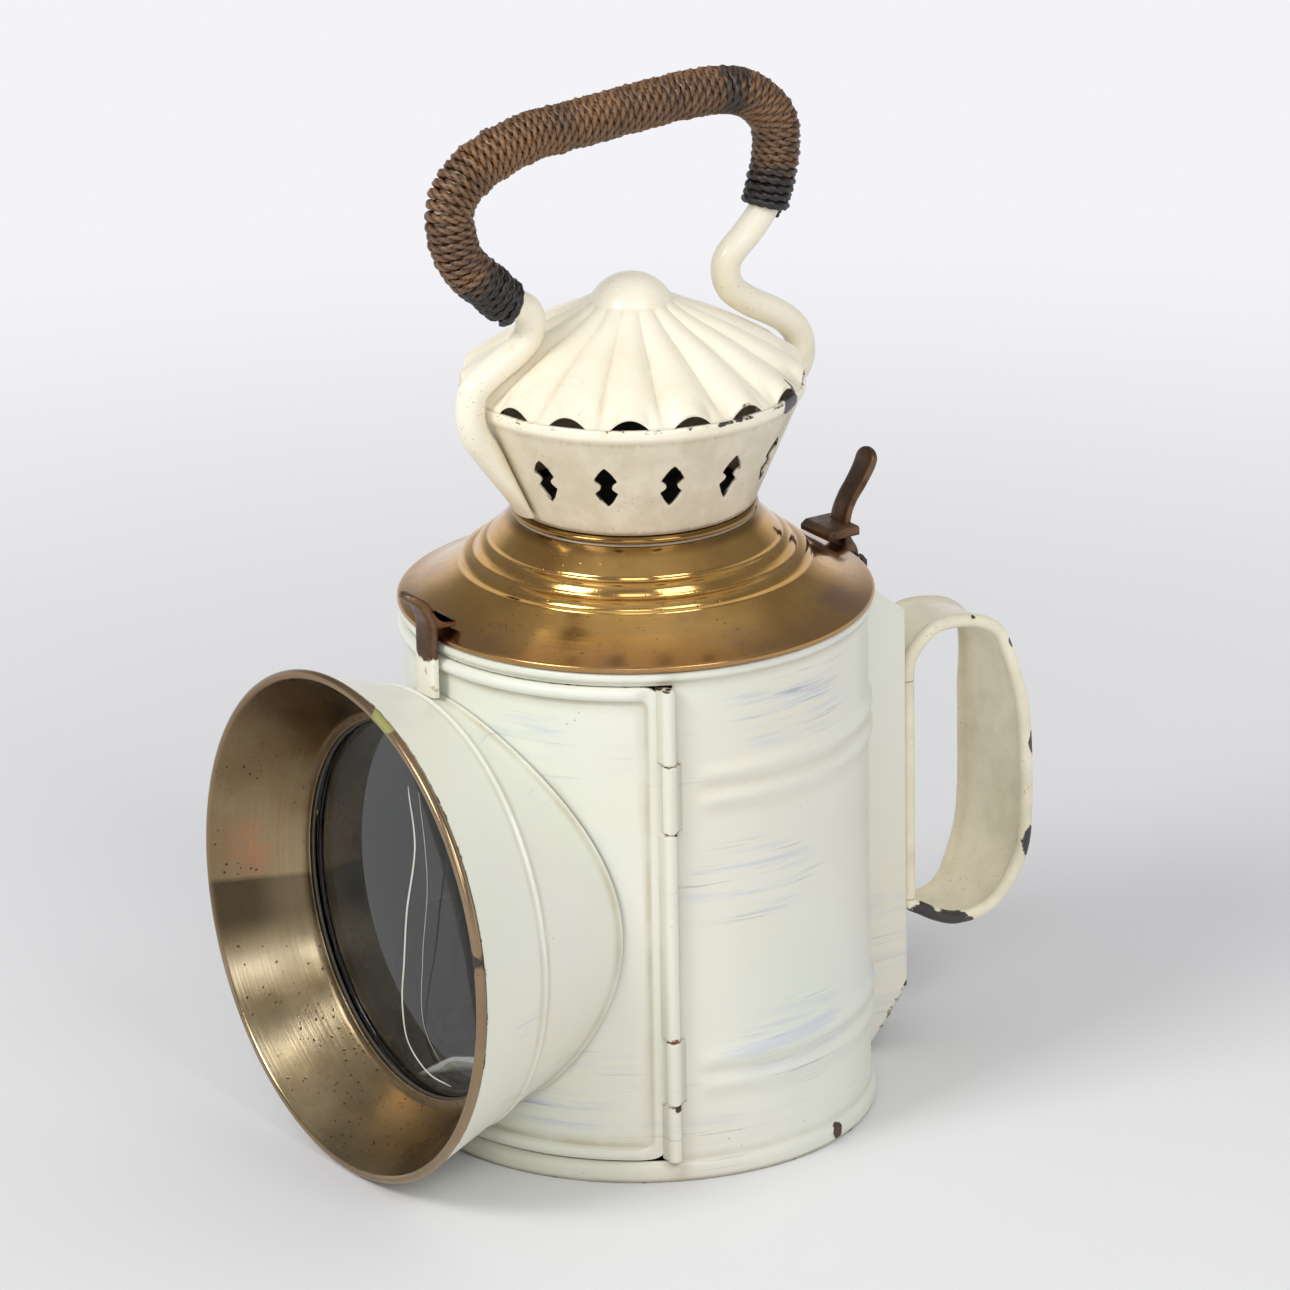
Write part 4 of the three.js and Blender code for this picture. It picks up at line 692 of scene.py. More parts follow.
def creases(profile, reach):
    """Wear on the outward corners and grime in the inward ones of a profile, each from 0 to 1: the turning
    at each corner, spread by exp(−(distance/reach)²)."""
    before = np.roll(profile, 1, axis=0)
    a, b = profile - before, np.roll(profile, -1, axis=0) - profile
    turn = np.arctan2(a[:, 0] * b[:, 1] - a[:, 1] * b[:, 0], np.sum(a * b, axis=1))
    area = np.sum(before[:, 0] * profile[:, 1] - profile[:, 0] * before[:, 1])
    gap = np.linalg.norm(profile[:, None] - profile[None], axis=2)
    total = hump(gap, 0, reach) @ (turn * np.sign(area)) / 1.2
    return clamp(total), clamp(-total)


# The lamp's body

BODY_RADIUS = 70.0
SHEET, THIN_SHEET = 1.2, 1.0
LENS_SLOPE = 0.367
HOOD_END = 104.4
SEAM = 78
OPENING = (206.5, 335.4, 6.8, 158.4)  # azimuths and heights of the door's opening
HINGE_AZIMUTH, HINGE_RADIUS = 334.2, 72.35


def hood_radius(depth):
    """The hood's outer radius at a distance in front of the body's axis."""
    return 55.5 + (depth - 44) * LENS_SLOPE


def hood_root(angle, cylinder):
    """The depth and radius at which the hood's cone meets a round body: d² = R² − (r cos a)²."""
    radius = np.full_like(angle, 60.0)
    for _ in range(40):
        depth = np.sqrt(cylinder**2 - (radius * np.cos(angle)) ** 2)
        radius = hood_radius(depth)
    return depth, radius


def make_body_shell(paint, soot_and_shade):
    """The round body: r = 70 + beads(z) + 1.2·sin²(2πt) on each swage, faded in over 6° of azimuth, less
    the door's opening. Shallow dents of 0.12·sin(3a + z/17)·sin(z/29 + 2a) show the hand-beaten sheet."""
    azimuth = np.unique(np.concatenate([around(320, 360), OPENING[:2]]))
    base_bead = [[70.7, 0], [71.5, 1.65], [71.5, 4.6], [BODY_RADIUS, 6.6]]
    top_bead = [[BODY_RADIUS, 159.2], [71.4, 160.25], [71.4, 161.8], [70.6, 162.7]]
    line = rounded(base_bead + top_bead, 1.4, 5, closed=False)
    height = np.unique(np.concatenate([line[:, 1], np.linspace(8, 158, 116), OPENING[2:]]))
    worn = [[0, 0.66], [0.8, 0.5], [5, 0.1], [7, 0], [159, 0], [161, 0.2], [162.7, 0.45]]
    # Darkening by height: a rust line where it stands, darkening in the crease above the base bead, and
    # painted shade under the top bead.
    dirt = [[0, 1], [0.7, 0.9], [1.6, 0.15], [6, 0.15], [7, 0.6], [9, 0]]
    dirt += [[157, 0], [159, 0.7], [160, 0.2], [161, 0]]
    fade, swage, hollow = np.zeros((len(azimuth), 1)), 0, 0
    for first in (-21, 104):
        onward = (azimuth[:, None] - first) % 360
        fade = np.maximum(fade, ease(onward / 6) * ease((97 - onward) / 6))
    for start in (26.2, 117.0):
        t = clamp((height - start) / 16.4)
        swage = swage + 1.2 * np.sin(TURN * t) ** 2
        # Painted shade in each swage's groove and along its lower edge.
        hollow = hollow + hump(t, 0.5, 0.1) + 0.5 * hump(height, start - 0.5, 1.5)
    a = np.radians(azimuth)[:, None]
    dents = 0.12 * np.sin(3 * a + height / 17) * np.sin(height / 29 + 2 * a) * ((height > 8) & (height < 158))
    middle = (azimuth + np.roll(azimuth, -1)) / 2
    middle[-1] = 359.9
    level = (height[1:] + height[:-1]) / 2
    left, right, low, high = OPENING
    hole = ((middle > left) & (middle < right))[:, None] & (level > low) & (level < high)
    beside = 0.5 * hump(azimuth, right, 2.5)[:, None]
    skin = Skin().grid(
        polar(np.interp(height, line[:, 1], line[:, 0]) + fade * swage + dents, azimuth[:, None], height),
        round_u=True,
        keep=~hole,
        wear=read(worn, height),
        grime=clamp(read(dirt, height) + fade * hollow * 0.35 + beside),
    )
    # The inner faces take the nearly black lining that paints the shade inside the lamp.
    thicken(skin.piece("painted_body", (paint, soot_and_shade), "body", ("body_shell",), "body_paint", 35), SHEET, 1)


def make_door(paint, soot_and_shade):
    """The curved door as one ring of surface from the hood's root to its rolled edge. On the unrolled sheet
    a point is (1 − v)·hole(a) + v·outline(a); towards the outline it rises over the bead as
    √(b² − (e − b)²), e being the distance in from the edge, then turns down the edge and back."""
    bead = 2.15
    mid, s_half = math.radians(270.35), BODY_RADIUS * math.radians(125.3 / 2)
    z_mid, z_half = 82.6, 75.4
    angle = around(720)
    depth, radius = hood_root(angle, BODY_RADIUS)
    x, z = (radius - 0.6) * np.cos(angle), LENS_HEIGHT + (radius - 0.6) * np.sin(angle)
    hole = np.stack([BODY_RADIUS * (np.arctan2(-depth, x) % TURN - mid), z], 1)
    start = np.array([BODY_RADIUS * (math.radians(270) - mid), LENS_HEIGHT])
    aim = np.arctan2(hole[:, 1] - start[1], hole[:, 0] - start[0])

    def outline(inset):
        s, z = s_half - inset, z_half - inset
        box = rounded([[s, -z], [s, z], [-s, z], [-s, -z]], max(7 - inset, 2), 10)
        line = finer(box, (s + z) / 1000) + [0, z_mid] - start
        reach = reach_towards(aim, line)
        return start + np.stack([reach * np.cos(aim), reach * np.sin(aim)], 1)

    face_edge, back_edge = outline(2 * bead + 1.6), outline(0.4)
    rows = []  # points on the sheet, height over it, wear and grime
    for v in np.linspace(0, 1, 26):
        grime = max(0, 1 - v * 9) * 0.8 + max(0, v * 9 - 8) * 0.5
        rows.append((hole * (1 - v) + face_edge * v, 0, 0, grime))
    for e in (1.0, 0.5, 0.15):
        rows.append((outline(2 * bead + e), 0.03 * (1.2 - e), 0, 0.9))
    for degrees in (165, 150, 130, 110, 90, 70, 50, 30, 12, 0):
        turn = math.radians(degrees)
        flat = outline(bead - bead * math.cos(turn))
        low = 1 - ease((flat[:, 0] - (s_half - 9)) / 5)
        rows.append((flat, bead * math.sin(turn) * low, 0.25, 0.3 if degrees > 140 else 0))
    rows += [(outline(0.0), -drop, 0.7, 0.3) for drop in (0.3, 0.6, 1.2)]
    rows += [(hole * (1 - v) + back_edge * v, -SHEET, 0, 0.8) for v in np.linspace(1, 0, 6)]
    flat = np.stack([row[0] for row in rows], axis=1)
    rise = np.stack([row[1] + 0 * aim for row in rows], axis=1)
    dents = 0.1 * np.sin(flat[..., 0] / 11) * np.sin(flat[..., 1] / 13) * (rise == 0)
    skin = Skin().grid(
        polar(BODY_RADIUS + rise + dents, np.degrees(mid + flat[..., 0] / BODY_RADIUS), flat[..., 1]),
        True,
        True,
        inner=np.arange(len(rows)) >= len(rows) - 6,
        wear=[row[2] for row in rows],
        grime=[row[3] for row in rows],
    )
    # The door's inner faces take the nearly black painted-shade lining.
    skin.piece("painted_door", (paint, soot_and_shade), "door", ("door_panel",), "body_paint", 50)


def make_hinge(paint):
    """The hinge's barrels, those of the door between those of the body, each one section carried upright
    with its ends drawn in by 0.25. The section is a barrel round the pin with a leaf drawn out to the
    sheet beside it."""
    centre = polar(HINGE_RADIUS, HINGE_AZIMUTH, 0)[:2]
    door_spans, body_spans = [(7.4, 25.4), (46.4, 112.3), (134.1, 157.8)], [(25.7, 46.1), (112.6, 133.8)]
    knuckles = ("hinge_knuckle_lower", "hinge_knuckle_upper")
    for body, cad, spans, reach, radius, side in (
        ("door", (), door_spans, 2.8, 2.0, 1),
        ("body", knuckles, body_spans, 3.2, 2.15, -1),
    ):
        barrel = centre + polar(radius, HINGE_AZIMUTH + side * np.linspace(-100, 175, 24), 0)[:, :2]
        leaf = polar([BODY_RADIUS - SHEET, BODY_RADIUS + 0.12], HINGE_AZIMUTH - side * reach, 0)[:, :2]
        section = np.vstack([barrel, leaf])
        grime = np.full(len(section), 0.06)
        grime[-3:] = 0.45
        skin = Skin()
        for low, high in spans:
            middle = np.linspace(low + 1, high - 1, 12)
            z = np.array([low, low + 0.25, *middle, high - 0.25, high])[:, None, None]
            shrink, wear = np.ones_like(z), np.full((len(z), 1), 0.35)
            shrink[[0, -1]] = 1 - 0.25 / radius
            wear[[0, 1, -2, -1]] = 0.75
            ring = centre + (section - centre) * shrink
            xyz = np.concatenate([ring, np.broadcast_to(z, (*ring.shape[:2], 1))], axis=2)
            skin.grid(xyz, round_v=True, lids=True, wear=wear, grime=grime)
        skin.piece(f"{body}_hinge_barrels", paint, body, cad, "body_paint", 50)


def make_hood(paint, soot_and_shade):
    """The hood: r(d) = 55.5 + 0.367(d − 44) from where it meets the body to its end, with a seam ring
    0.9·cos²(πu/2) high at depth 78 and a solder fillet 1.5·exp(−s/1.1) high at its root."""
    angle = around(360)[:, None]
    root, _ = hood_root(angle, BODY_RADIUS + 0.3)
    t = np.concatenate([[0, 0.006, 0.014, 0.025, 0.04, 0.06, 0.085], np.linspace(0.12, 1, 100)])
    depth, inner_depth = (root + (HOOD_END - root) * share for share in (t, 1 - np.linspace(0, 1, 12)))
    seam = np.cos(TURN / 4 * np.clip((depth - SEAM) / 1.3, -1, 1)) ** 2
    outer = hood_radius(depth) + 0.9 * seam + 1.5 * np.exp(-(depth - root) / 1.1)
    outer += 0.08 * np.sin(4 * angle + depth / 9)
    inner = hood_radius(inner_depth) - SHEET
    grime = clamp(hump(depth - root, 1.2, 1.2) + 0.6 * hump(np.abs(depth - SEAM), 1.6, 0.8))
    wear = clamp(0.75 - (HOOD_END - depth) / 2.5) + 0.25 * seam
    radius = np.hstack([outer, inner])
    skin = Skin().grid(
        about_lens(radius, np.degrees(angle), np.hstack([depth, inner_depth])),
        True,
        True,
        inner=np.arange(radius.shape[1]) >= outer.shape[1],
        wear=np.hstack([wear, 0 * inner]),
        grime=np.hstack([grime, 0 * inner + 0.8]),
    )
    # The hood's inner faces take the nearly black painted-shade lining.
    skin.piece("painted_hood", (paint, soot_and_shade), "door", ("hood_shell",), "body_paint", 45)


def make_liner(brass):
    """The hood's brass flare, turned from its throat to its rolled rim."""
    roll = 1.5 * polar(1, np.linspace(-115, 150, 16), 0)[:, :2] + [77.13, 106.2]
    profile = np.vstack([[[58.5, 81.6], [62.0, 81.6]], roll, [[61.2, 82.4], [58.5, 82.4]]])
    profile = finer(rounded(profile, [0.3, 0.3] + [0] * 16 + [0.8, 0.3], 4), 1.0)
    a = around(480, 360)[:, None]
    wide, deep = profile.T
    skin = turned(
        profile,
        480,
        about_lens,
        grime=hump(wide, 61, 1.6) * 0.8,
        brown=hump(a, 122, 34),
        copper=hump(a, 176, 10) * hump(deep, 95, 8),
        # The dark band paints a reflection, and the pale patches below paint highlights.
        dark=ease((a - 186) / 1.5) * ease((205 - a) / 9) * (0.65 + 0.35 * ease((deep - 88) / 10)),
        # Painted highlight: pale patches at 209 and 228 degrees.
        pale=hump(a, 209, 5) + 0.6 * hump(a, 228, 6),
        pitted=hump(a, 225, 28),
        rim=ease((wide - 75.6) / 1.2),
    )
    skin.piece("brass_liner", brass, "door", ("hood_liner",), "liner_brass", 40)


LENS_WIDE, LENS_BULGE, LENS_FRONT = 56.5, 6.3, 86.5
# Painted highlight: these two lines become pale ridges on the lens that stand for the bright line refracted
# in it.
WIDE_GLINT = [  # points across and up from the lens's middle
    [1.7, 40.5], [8, 23.9], [4.2, 0.9], [1.5, -14.7], [-2.7, -31.3], [-2.8, -44], [5.5, -51], [17.7, -51.8],
]
FINE_GLINT = [[7.4, 40.7], [13.1, 25.4], [15.2, 11.7], [11.9, -11.4], [8.8, -35.1], [16.8, -47.8]]
GLINT_LINES = [(0.42, 0.14, WIDE_GLINT), (0.1, 0.04, FINE_GLINT)]  # half width, half height, points


def make_painted_glints(glint_finish):
    """Two pale lines down the lens that paint the bright refracted line seen in it, each a low lens-shaped
    ridge along its line on the front face, where depth = 86.5 − 6.3(r/56.5)², which thins out to its ends as
    √(1 − (2s − 1)⁶)."""
    curve = LENS_BULGE / LENS_WIDE**2
    for number, (half, rise, points) in enumerate(GLINT_LINES, 1):
        x, z = smooth_line(points, 160).T
        line = np.stack([x, curve * (x**2 + z**2) - LENS_FRONT, LENS_HEIGHT + z], 1)
        normal = unit(np.stack([2 * curve * x, -np.ones_like(x), 2 * curve * z], 1))
        side = unit(np.cross(np.gradient(line, axis=0), normal))
        thin = 0.15 + 0.85 * np.sqrt(1 - np.linspace(-1, 1, len(x)) ** 6)
        a = around(12)
        section = thin[:, None, None] * np.stack([half * np.cos(a), rise * np.sin(a)], 1)
        swept(line, normal, section, side).piece(f"lens_glint_{number}", glint_finish, "door", sharp=60)


def make_lens(glass, packing, soot_and_shade):
    """The lens with its ground edge, its two packings and the ring that holds them, all turned."""
    arc = np.linspace(1, 0, 24)
    face = np.stack([LENS_WIDE * arc, LENS_FRONT - LENS_BULGE * arc**2], 1)
    profile = np.vstack([[[0, 75], [59.2, 75], [59.7, 75.5], [59.7, 79.6], [59.1, 80.2]], face])
    turned(profile, 256, about_lens).piece("clear_lens", glass, "door", ("lens",), "lens_glass", 25)
    for name, start in (("front", 80.5), ("rear", 73.9)):
        ring = rounded([[58.0, start], [60, start], [60, start + 0.8], [58.0, start + 0.8]], 0.3, 4)
        packed = turned(ring, 200, about_lens)
        packed.piece(f"packing_{name}", packing, "door", (f"lens_gasket_{name}",), "gasket_packing", 60)
    back, shelf, front = 72.4, 73.6, 81.3
    wide = hood_radius(back) - 1.5
    ring = [[56.1, back], [wide, back], [wide, shelf], [62.1, shelf]]
    ring += [[62.1, front], [60.9, front], [60.9, shelf], [56.1, shelf]]
    holder = turned(finer(rounded(ring, 0.4, 3), 1.5), 200, about_lens)
    holder.piece("lens_ring", soot_and_shade, "door", ("lens_cell",), "inner_steel", 40)


def make_socket(paint):
    """The folded pocket on the back. Across, its sheet runs out from the body, round a corner, over the
    back and in again; upward, each part rises from the slant foot and leans in over the sloped top."""
    half, root, back, top, foot, slope = 13.5, 68.6, 90.3, 142.3, 19.8, 0.773
    deep = back - root
    line = rounded([[-half, 0], [-half, deep], [half, deep], [half, 0]], 2.2, 6, closed=False)
    across, out = finer(line, 0.9, closed=False).T[..., None]
    low = np.interp(root + out, [root, root + 7, back], [2.0, 2.0, foot])
    rise, lean = np.linspace(0, 1, 70), np.concatenate([[0.01, 0.03, 0.06], np.linspace(0.1, 1, 18)])
    y = root + np.hstack([out + 0 * rise, np.minimum(out, deep * (1 - lean))])
    z = np.hstack([low + (top - low) * rise, top + lean * deep * slope + 0 * out])
    hug = BODY_RADIUS + 0.1
    y = np.where(np.hypot(across, y) < hug, np.sqrt(np.maximum(hug**2 - across**2, 0)), y)
    wear = hump(np.abs(across), half, 1.2) * hump(y, back, 1.2) * 0.7
    wear[:, :2] = 0.8
    skin = Skin().grid(np.stack([across + 0 * y, y, z], axis=-1), wear=wear, grime=hump(y, 69, 2.0) * 0.8)
    thicken(skin.piece("rear_pocket", paint, "body", ("rear_socket",), "body_paint", 40), THIN_SHEET)


HANDLE = [  # shares of its reach and of its height
    [0, 0.826], [0, 0.848], [0.025, 0.9], [0.102, 0.945], [0.197, 0.979], [0.29, 0.996], [0.395, 1],
    [0.528, 0.995], [0.671, 0.98], [0.766, 0.96], [0.862, 0.923], [0.92, 0.86], [0.952, 0.8], [0.978, 0.725],
    [0.993, 0.637], [1, 0.56], [0.982, 0.242], [0.905, 0.14], [0.762, 0.045], [0.617, 0.008], [0.472, 0],
    [0.385, 0.004], [0.234, 0.031], [0.12, 0.06], [0.025, 0.085], [0, 0.102], [0, 0.118],
]
WIDEN = [[0, 0], [0.3, 0.12], [0.42, 0.9], [0.5, 1], [0.66, 1], [0.74, 0.8], [0.86, 0.15], [1, 0]]
WIRE = 2.1


def strap_section(half):
    """Half a turn of wire at each edge, joined by a thin web with soft hollows beside the wires."""
    web, edge = 0.8, half - WIRE
    right = polar(WIRE, np.linspace(115, -115, 15), 0)[:, :2] + [edge, 0]
    flat = [[0, web], [edge * 0.5, web], [edge - WIRE * 1.25, web * 1.05], [edge - WIRE * 0.85, web * 1.4]]
    upper = np.vstack([flat, right])
    right_side = np.vstack([upper, upper[::-1][len(right) :] * [1, -1]])
    return np.vstack([right_side, right_side[::-1][1:-1] * [-1, 1]])


def make_handle(paint):
    """The rear handle: the strap's section carried along its bent line, wider at the grip, and the straight
    strip behind it."""
    root, reach, bottom, height = 90.6, 44.1, 34.0, 102.1
    line, outward = upright_line(np.array(HANDLE) * [reach, height] + [root, bottom], 220)
    share = np.linspace(0, 1, len(line))[:, None]
    half = 12 + 6.8 * softened(read(WIDEN, share[:, 0]), 6)
    section = np.stack([strap_section(h) for h in half])
    edge = np.abs(section[..., 0]) / half[:, None]
    wear = ease((edge - 0.8) / 0.2) * (0.2 + 0.3 * ease((share - 0.42) / 0.1))
    strap = swept(line - outward * WIRE, outward, section, wear=wear, grime=hump(edge, 0.78, 0.1) * 0.5)
    strap.piece("rear_handle", paint, "body", ("handle_strap",), "handle_paint", 50)
    z = np.linspace(line[-1, 2] + 0.3, line[0, 2] - 0.3, 60)
    straight = np.stack([0 * z, 0 * z + root + WIRE, z], 1)
    strip = swept(straight, (0, 1.0, 0), strap_section(12.0), wear=0.2, grime=0.25)
    strip.piece("handle_strip", paint, "body", ("handle_backing",), "handle_paint", 50)


def bar(points, width, thick, count=90, tip=0.1):
    """A forged bar: at each point of the line the section |u/w|⁴ + |v/t|³ = 1, where both half sizes w and
    t are read from tables of the share along it, and the last tip of it closes round as √(1 − q²)."""
    line, normal = upright_line(points, count)
    share = np.linspace(0, 1, count)
    close = np.sqrt(1 - np.clip((share - (1 - tip)) / tip, 0, 0.995) ** 2)
    a = around(40)
    u = np.sign(np.cos(a)) * np.abs(np.cos(a)) ** 0.5
    v = np.sign(np.sin(a)) * np.abs(np.sin(a)) ** 0.62
    half_u, half_v = read(width, share) * close, read(thick, share) * (0.25 + 0.75 * close)
    section = np.stack([half_u[:, None] * u, half_v[:, None] * v], axis=2)
    return swept(line, normal, section, wear=np.abs(u) ** 6 * 0.6)


def make_clips(bronze, hook_bronze):
    """The front hook, the rear thumb lever and their feet over the brim: two forged bars carried along bent
    lines, and two blocks with rounded edges."""
    low = LENS_HEIGHT + hood_radius(74.2) + 0.9
    hook = [[-74.25, low], [-74.25, 158], [-74.25, 166], [-74.3, 169.4]]
    hook += [[-75.1, 172.4], [-77.0, 175.4], [-79.8, 177.8], [-82.6, 179.3]]
    skin = bar(
        hook,
        [[0, 5.0], [0.6, 5.0], [0.82, 4.4], [1, 4.2]],
        [[0, 1.5], [0.62, 1.5], [0.72, 1.9], [1, 1.25]],
    )
    skin.piece("front_hook", hook_bronze, "door", ("front_clip",), "clip_bronze", 40)
    fillet = smooth_line([[74.8, 174.6], [73.0, 171.8], [70.8, 170.3], [67.2, 169.9]], 14)
    toe = np.vstack([fillet, [[66.85, 169.6], [66.85, 167.9], [72.6, 167.9], [74.8, 167.9]]]) * [-1, 1]
    skin = slab(finer(rounded(toe, 0.35, 3), 0.5), 9.6, 0.5, 0.35)
    skin.piece("front_hook_foot", hook_bronze, "door", (), "clip_bronze", 40)
    lever = [[77.0, 157.2], [76.7, 161.0], [75.3, 165.4], [74.9, 169.2], [75.5, 173.5]]
    lever += [[77.6, 178.0], [80.9, 182.4], [84.0, 187.3], [86.0, 192.6]]
    skin = bar(
        lever,
        [[0, 2.2], [0.04, 4.2], [0.1, 4.5], [0.55, 4.1], [0.8, 4.3], [0.92, 4.5], [1, 4.5]],
        [[0, 2.0], [0.06, 2.8], [0.14, 2.6], [0.24, 1.6], [0.5, 1.5], [0.85, 1.7], [1, 1.5]],
    )
    skin.piece("rear_lever_blade", bronze, "rear_lever", ("rear_catch",), "clip_bronze", 40)
    block = [[65.3, 168.0], [77.0, 168.0], [77.0, 170.4], [76.4, 171.2], [67.2, 171.2], [65.3, 169.9]]
    skin = slab(finer(rounded(block, 0.5, 4), 0.6), 15.5, 0.6, 0.4)
    skin.piece("rear_lever_foot", bronze, "rear_lever", (), "clip_bronze", 40)


def make_shoulder(brass):
    """The spun shoulder, turned from its brim over two stepped rings to the neck."""
    run, rise, brim, low = 35.7, 28.4, 72.1, 165.0
    steps = [
        (0.14, 0.055), (0.34, 0.185), (0.53, 0.35), (0.535, 0.39), (0.565, 0.437), (0.61, 0.46), (0.66, 0.47),
        (0.675, 0.51), (0.7, 0.56), (0.735, 0.59), (0.78, 0.605), (0.79, 0.64), (0.95, 0.85), (1.005, 0.91),
    ]
    under = [(1.005, 0.9), (0.8, 0.615), (0.7, 0.525), (0.57, 0.4), (0.54, 0.32), (0.34, 0.15), (0.14, 0.02)]
    profile = [[70.1, 163], [71.6, 163], [72.1, 163.5], [72.1, 164.5], [71.6, 165]]
    profile += [[brim - run * r, low + rise * z] for r, z in steps]
    profile += [[37.4, 191.4], [37.4, 192.4], [36.4, 193.4], [34.8, 193.4], [34.8, 196.3], [33.8, 196.3]]
    profile += [[brim - 1 - run * r, low - 0.5 + rise * z] for r, z in under]
    soft = [0.4] * 5 + [3, 4] + [0.7, 0.5, 1.2, 1.0] * 2 + [0.7, 0.5, 4, 0.8] + [0.5] * 6 + [0.6] * 7
    profile = finer(rounded(profile, soft, 5), 0.85)
    wear, grime = creases(profile, 0.5)
    skin = turned(profile, 288, wear=wear, grime=grime)
    skin.piece("spun_shoulder", brass, "top", ("shoulder", "shoulder_brim"), "shoulder_brass", 50)


CONE = (36.4, 193.7, 50.6, 226.5)  # radius and height at its foot and at its crease
SLOT = [  # the upper right side of a slot: out from its middle and up
    [0, 7.85], [1.3, 6.4], [2.6, 4.2], [3.5, 2.3], [3.3, 1.9], [2.8, 1.45], [2.2, 0.95], [1.85, 0.45],
    [1.75, 0],
]


def make_cone(paint):
    """The pierced chimney: for each of the 14 slots a ring of surface from the slot's outline to the edges
    of its own fourteenth of the cone, p = (1 − w)·slot + w·edge, then a band round the top."""
    count, first, height = 14, 341.9, 210.9
    foot, floor, crease, ceiling = CONE
    slope = (crease - foot) / (ceiling - floor)
    slant = math.hypot(1, slope)
    right = np.vstack([SLOT, np.array(SLOT)[::-1][1:] * [1, -1]])
    outline = rounded(np.vstack([right, right[::-1][1:-1] * [-1, 1]]), 0.35, 3)
    middle_radius = foot + (height - floor) * slope
    half = math.pi / count * middle_radius
    low, high = (floor - height) * slant, (ceiling - height) * slant
    corners = np.vstack([outline, [[-half, low], [half, low], [half, high], [-half, high]]])
    aims = np.concatenate([around(120) - math.pi, np.arctan2(corners[:, 1], corners[:, 0])])
    aim = np.unique(np.round(aims, 6))[:, None]
    inner = reach_towards(aim, outline)
    cos, sin = np.cos(aim), np.sin(aim)
    with np.errstate(divide="ignore"):
        side, level = half / np.abs(cos), np.where(sin > 0, high, low) / sin
    outer = np.minimum(side, np.where(np.abs(sin) > 1e-9, level, 1e9))
    w = np.concatenate([[0, 0.04, 0.1], np.linspace(0.2, 1, 7)])
    r = inner * (1 - w) + outer * w
    z = height + r * sin / slant
    spread = np.degrees(r * cos / middle_radius)
    starts = first + 360 * np.arange(count) / count
    # Painted shade: the whole cone takes 0.7 of the darkening tint, and all of it near its foot, to darken it
    # where it faces down and out.
    wear, grime = clamp(0.75 - w * 6), 0.7 + clamp((floor + 5 - z) / 5) * 0.3
    skin = Skin()
    for start in starts:
        skin.grid(polar(foot + (z - floor) * slope, start + spread, z), round_u=True, wear=wear, grime=grime)
    top = np.abs(outer * sin - high) < 1e-6
    edge = np.unique(np.round(np.degrees((outer * cos)[top] / middle_radius), 5))
    ring = (starts[:, None] + edge[:-1]).reshape(-1, 1)
    band = [[crease, ceiling], [52, 228.3], [52, 230.4], [51.5, 231.3], [50.5, 231.3]]
    wide, up = rounded(band, [0, 0.9, 0.5, 0.5, 0], 5, closed=False).T
    worn = np.clip((up - 229) / 2.0, 0, 0.7)
    skin.grid(polar(wide, ring, up), round_u=True, wear=worn, grime=hump(up, ceiling, 0.45))
    cone = skin.piece("pierced_chimney", paint, "top", ("chimney_cone",), "chimney_paint", 35, 2e-5)
    thicken(cone, THIN_SHEET)


FLUTES = 17
CREST = 325.9


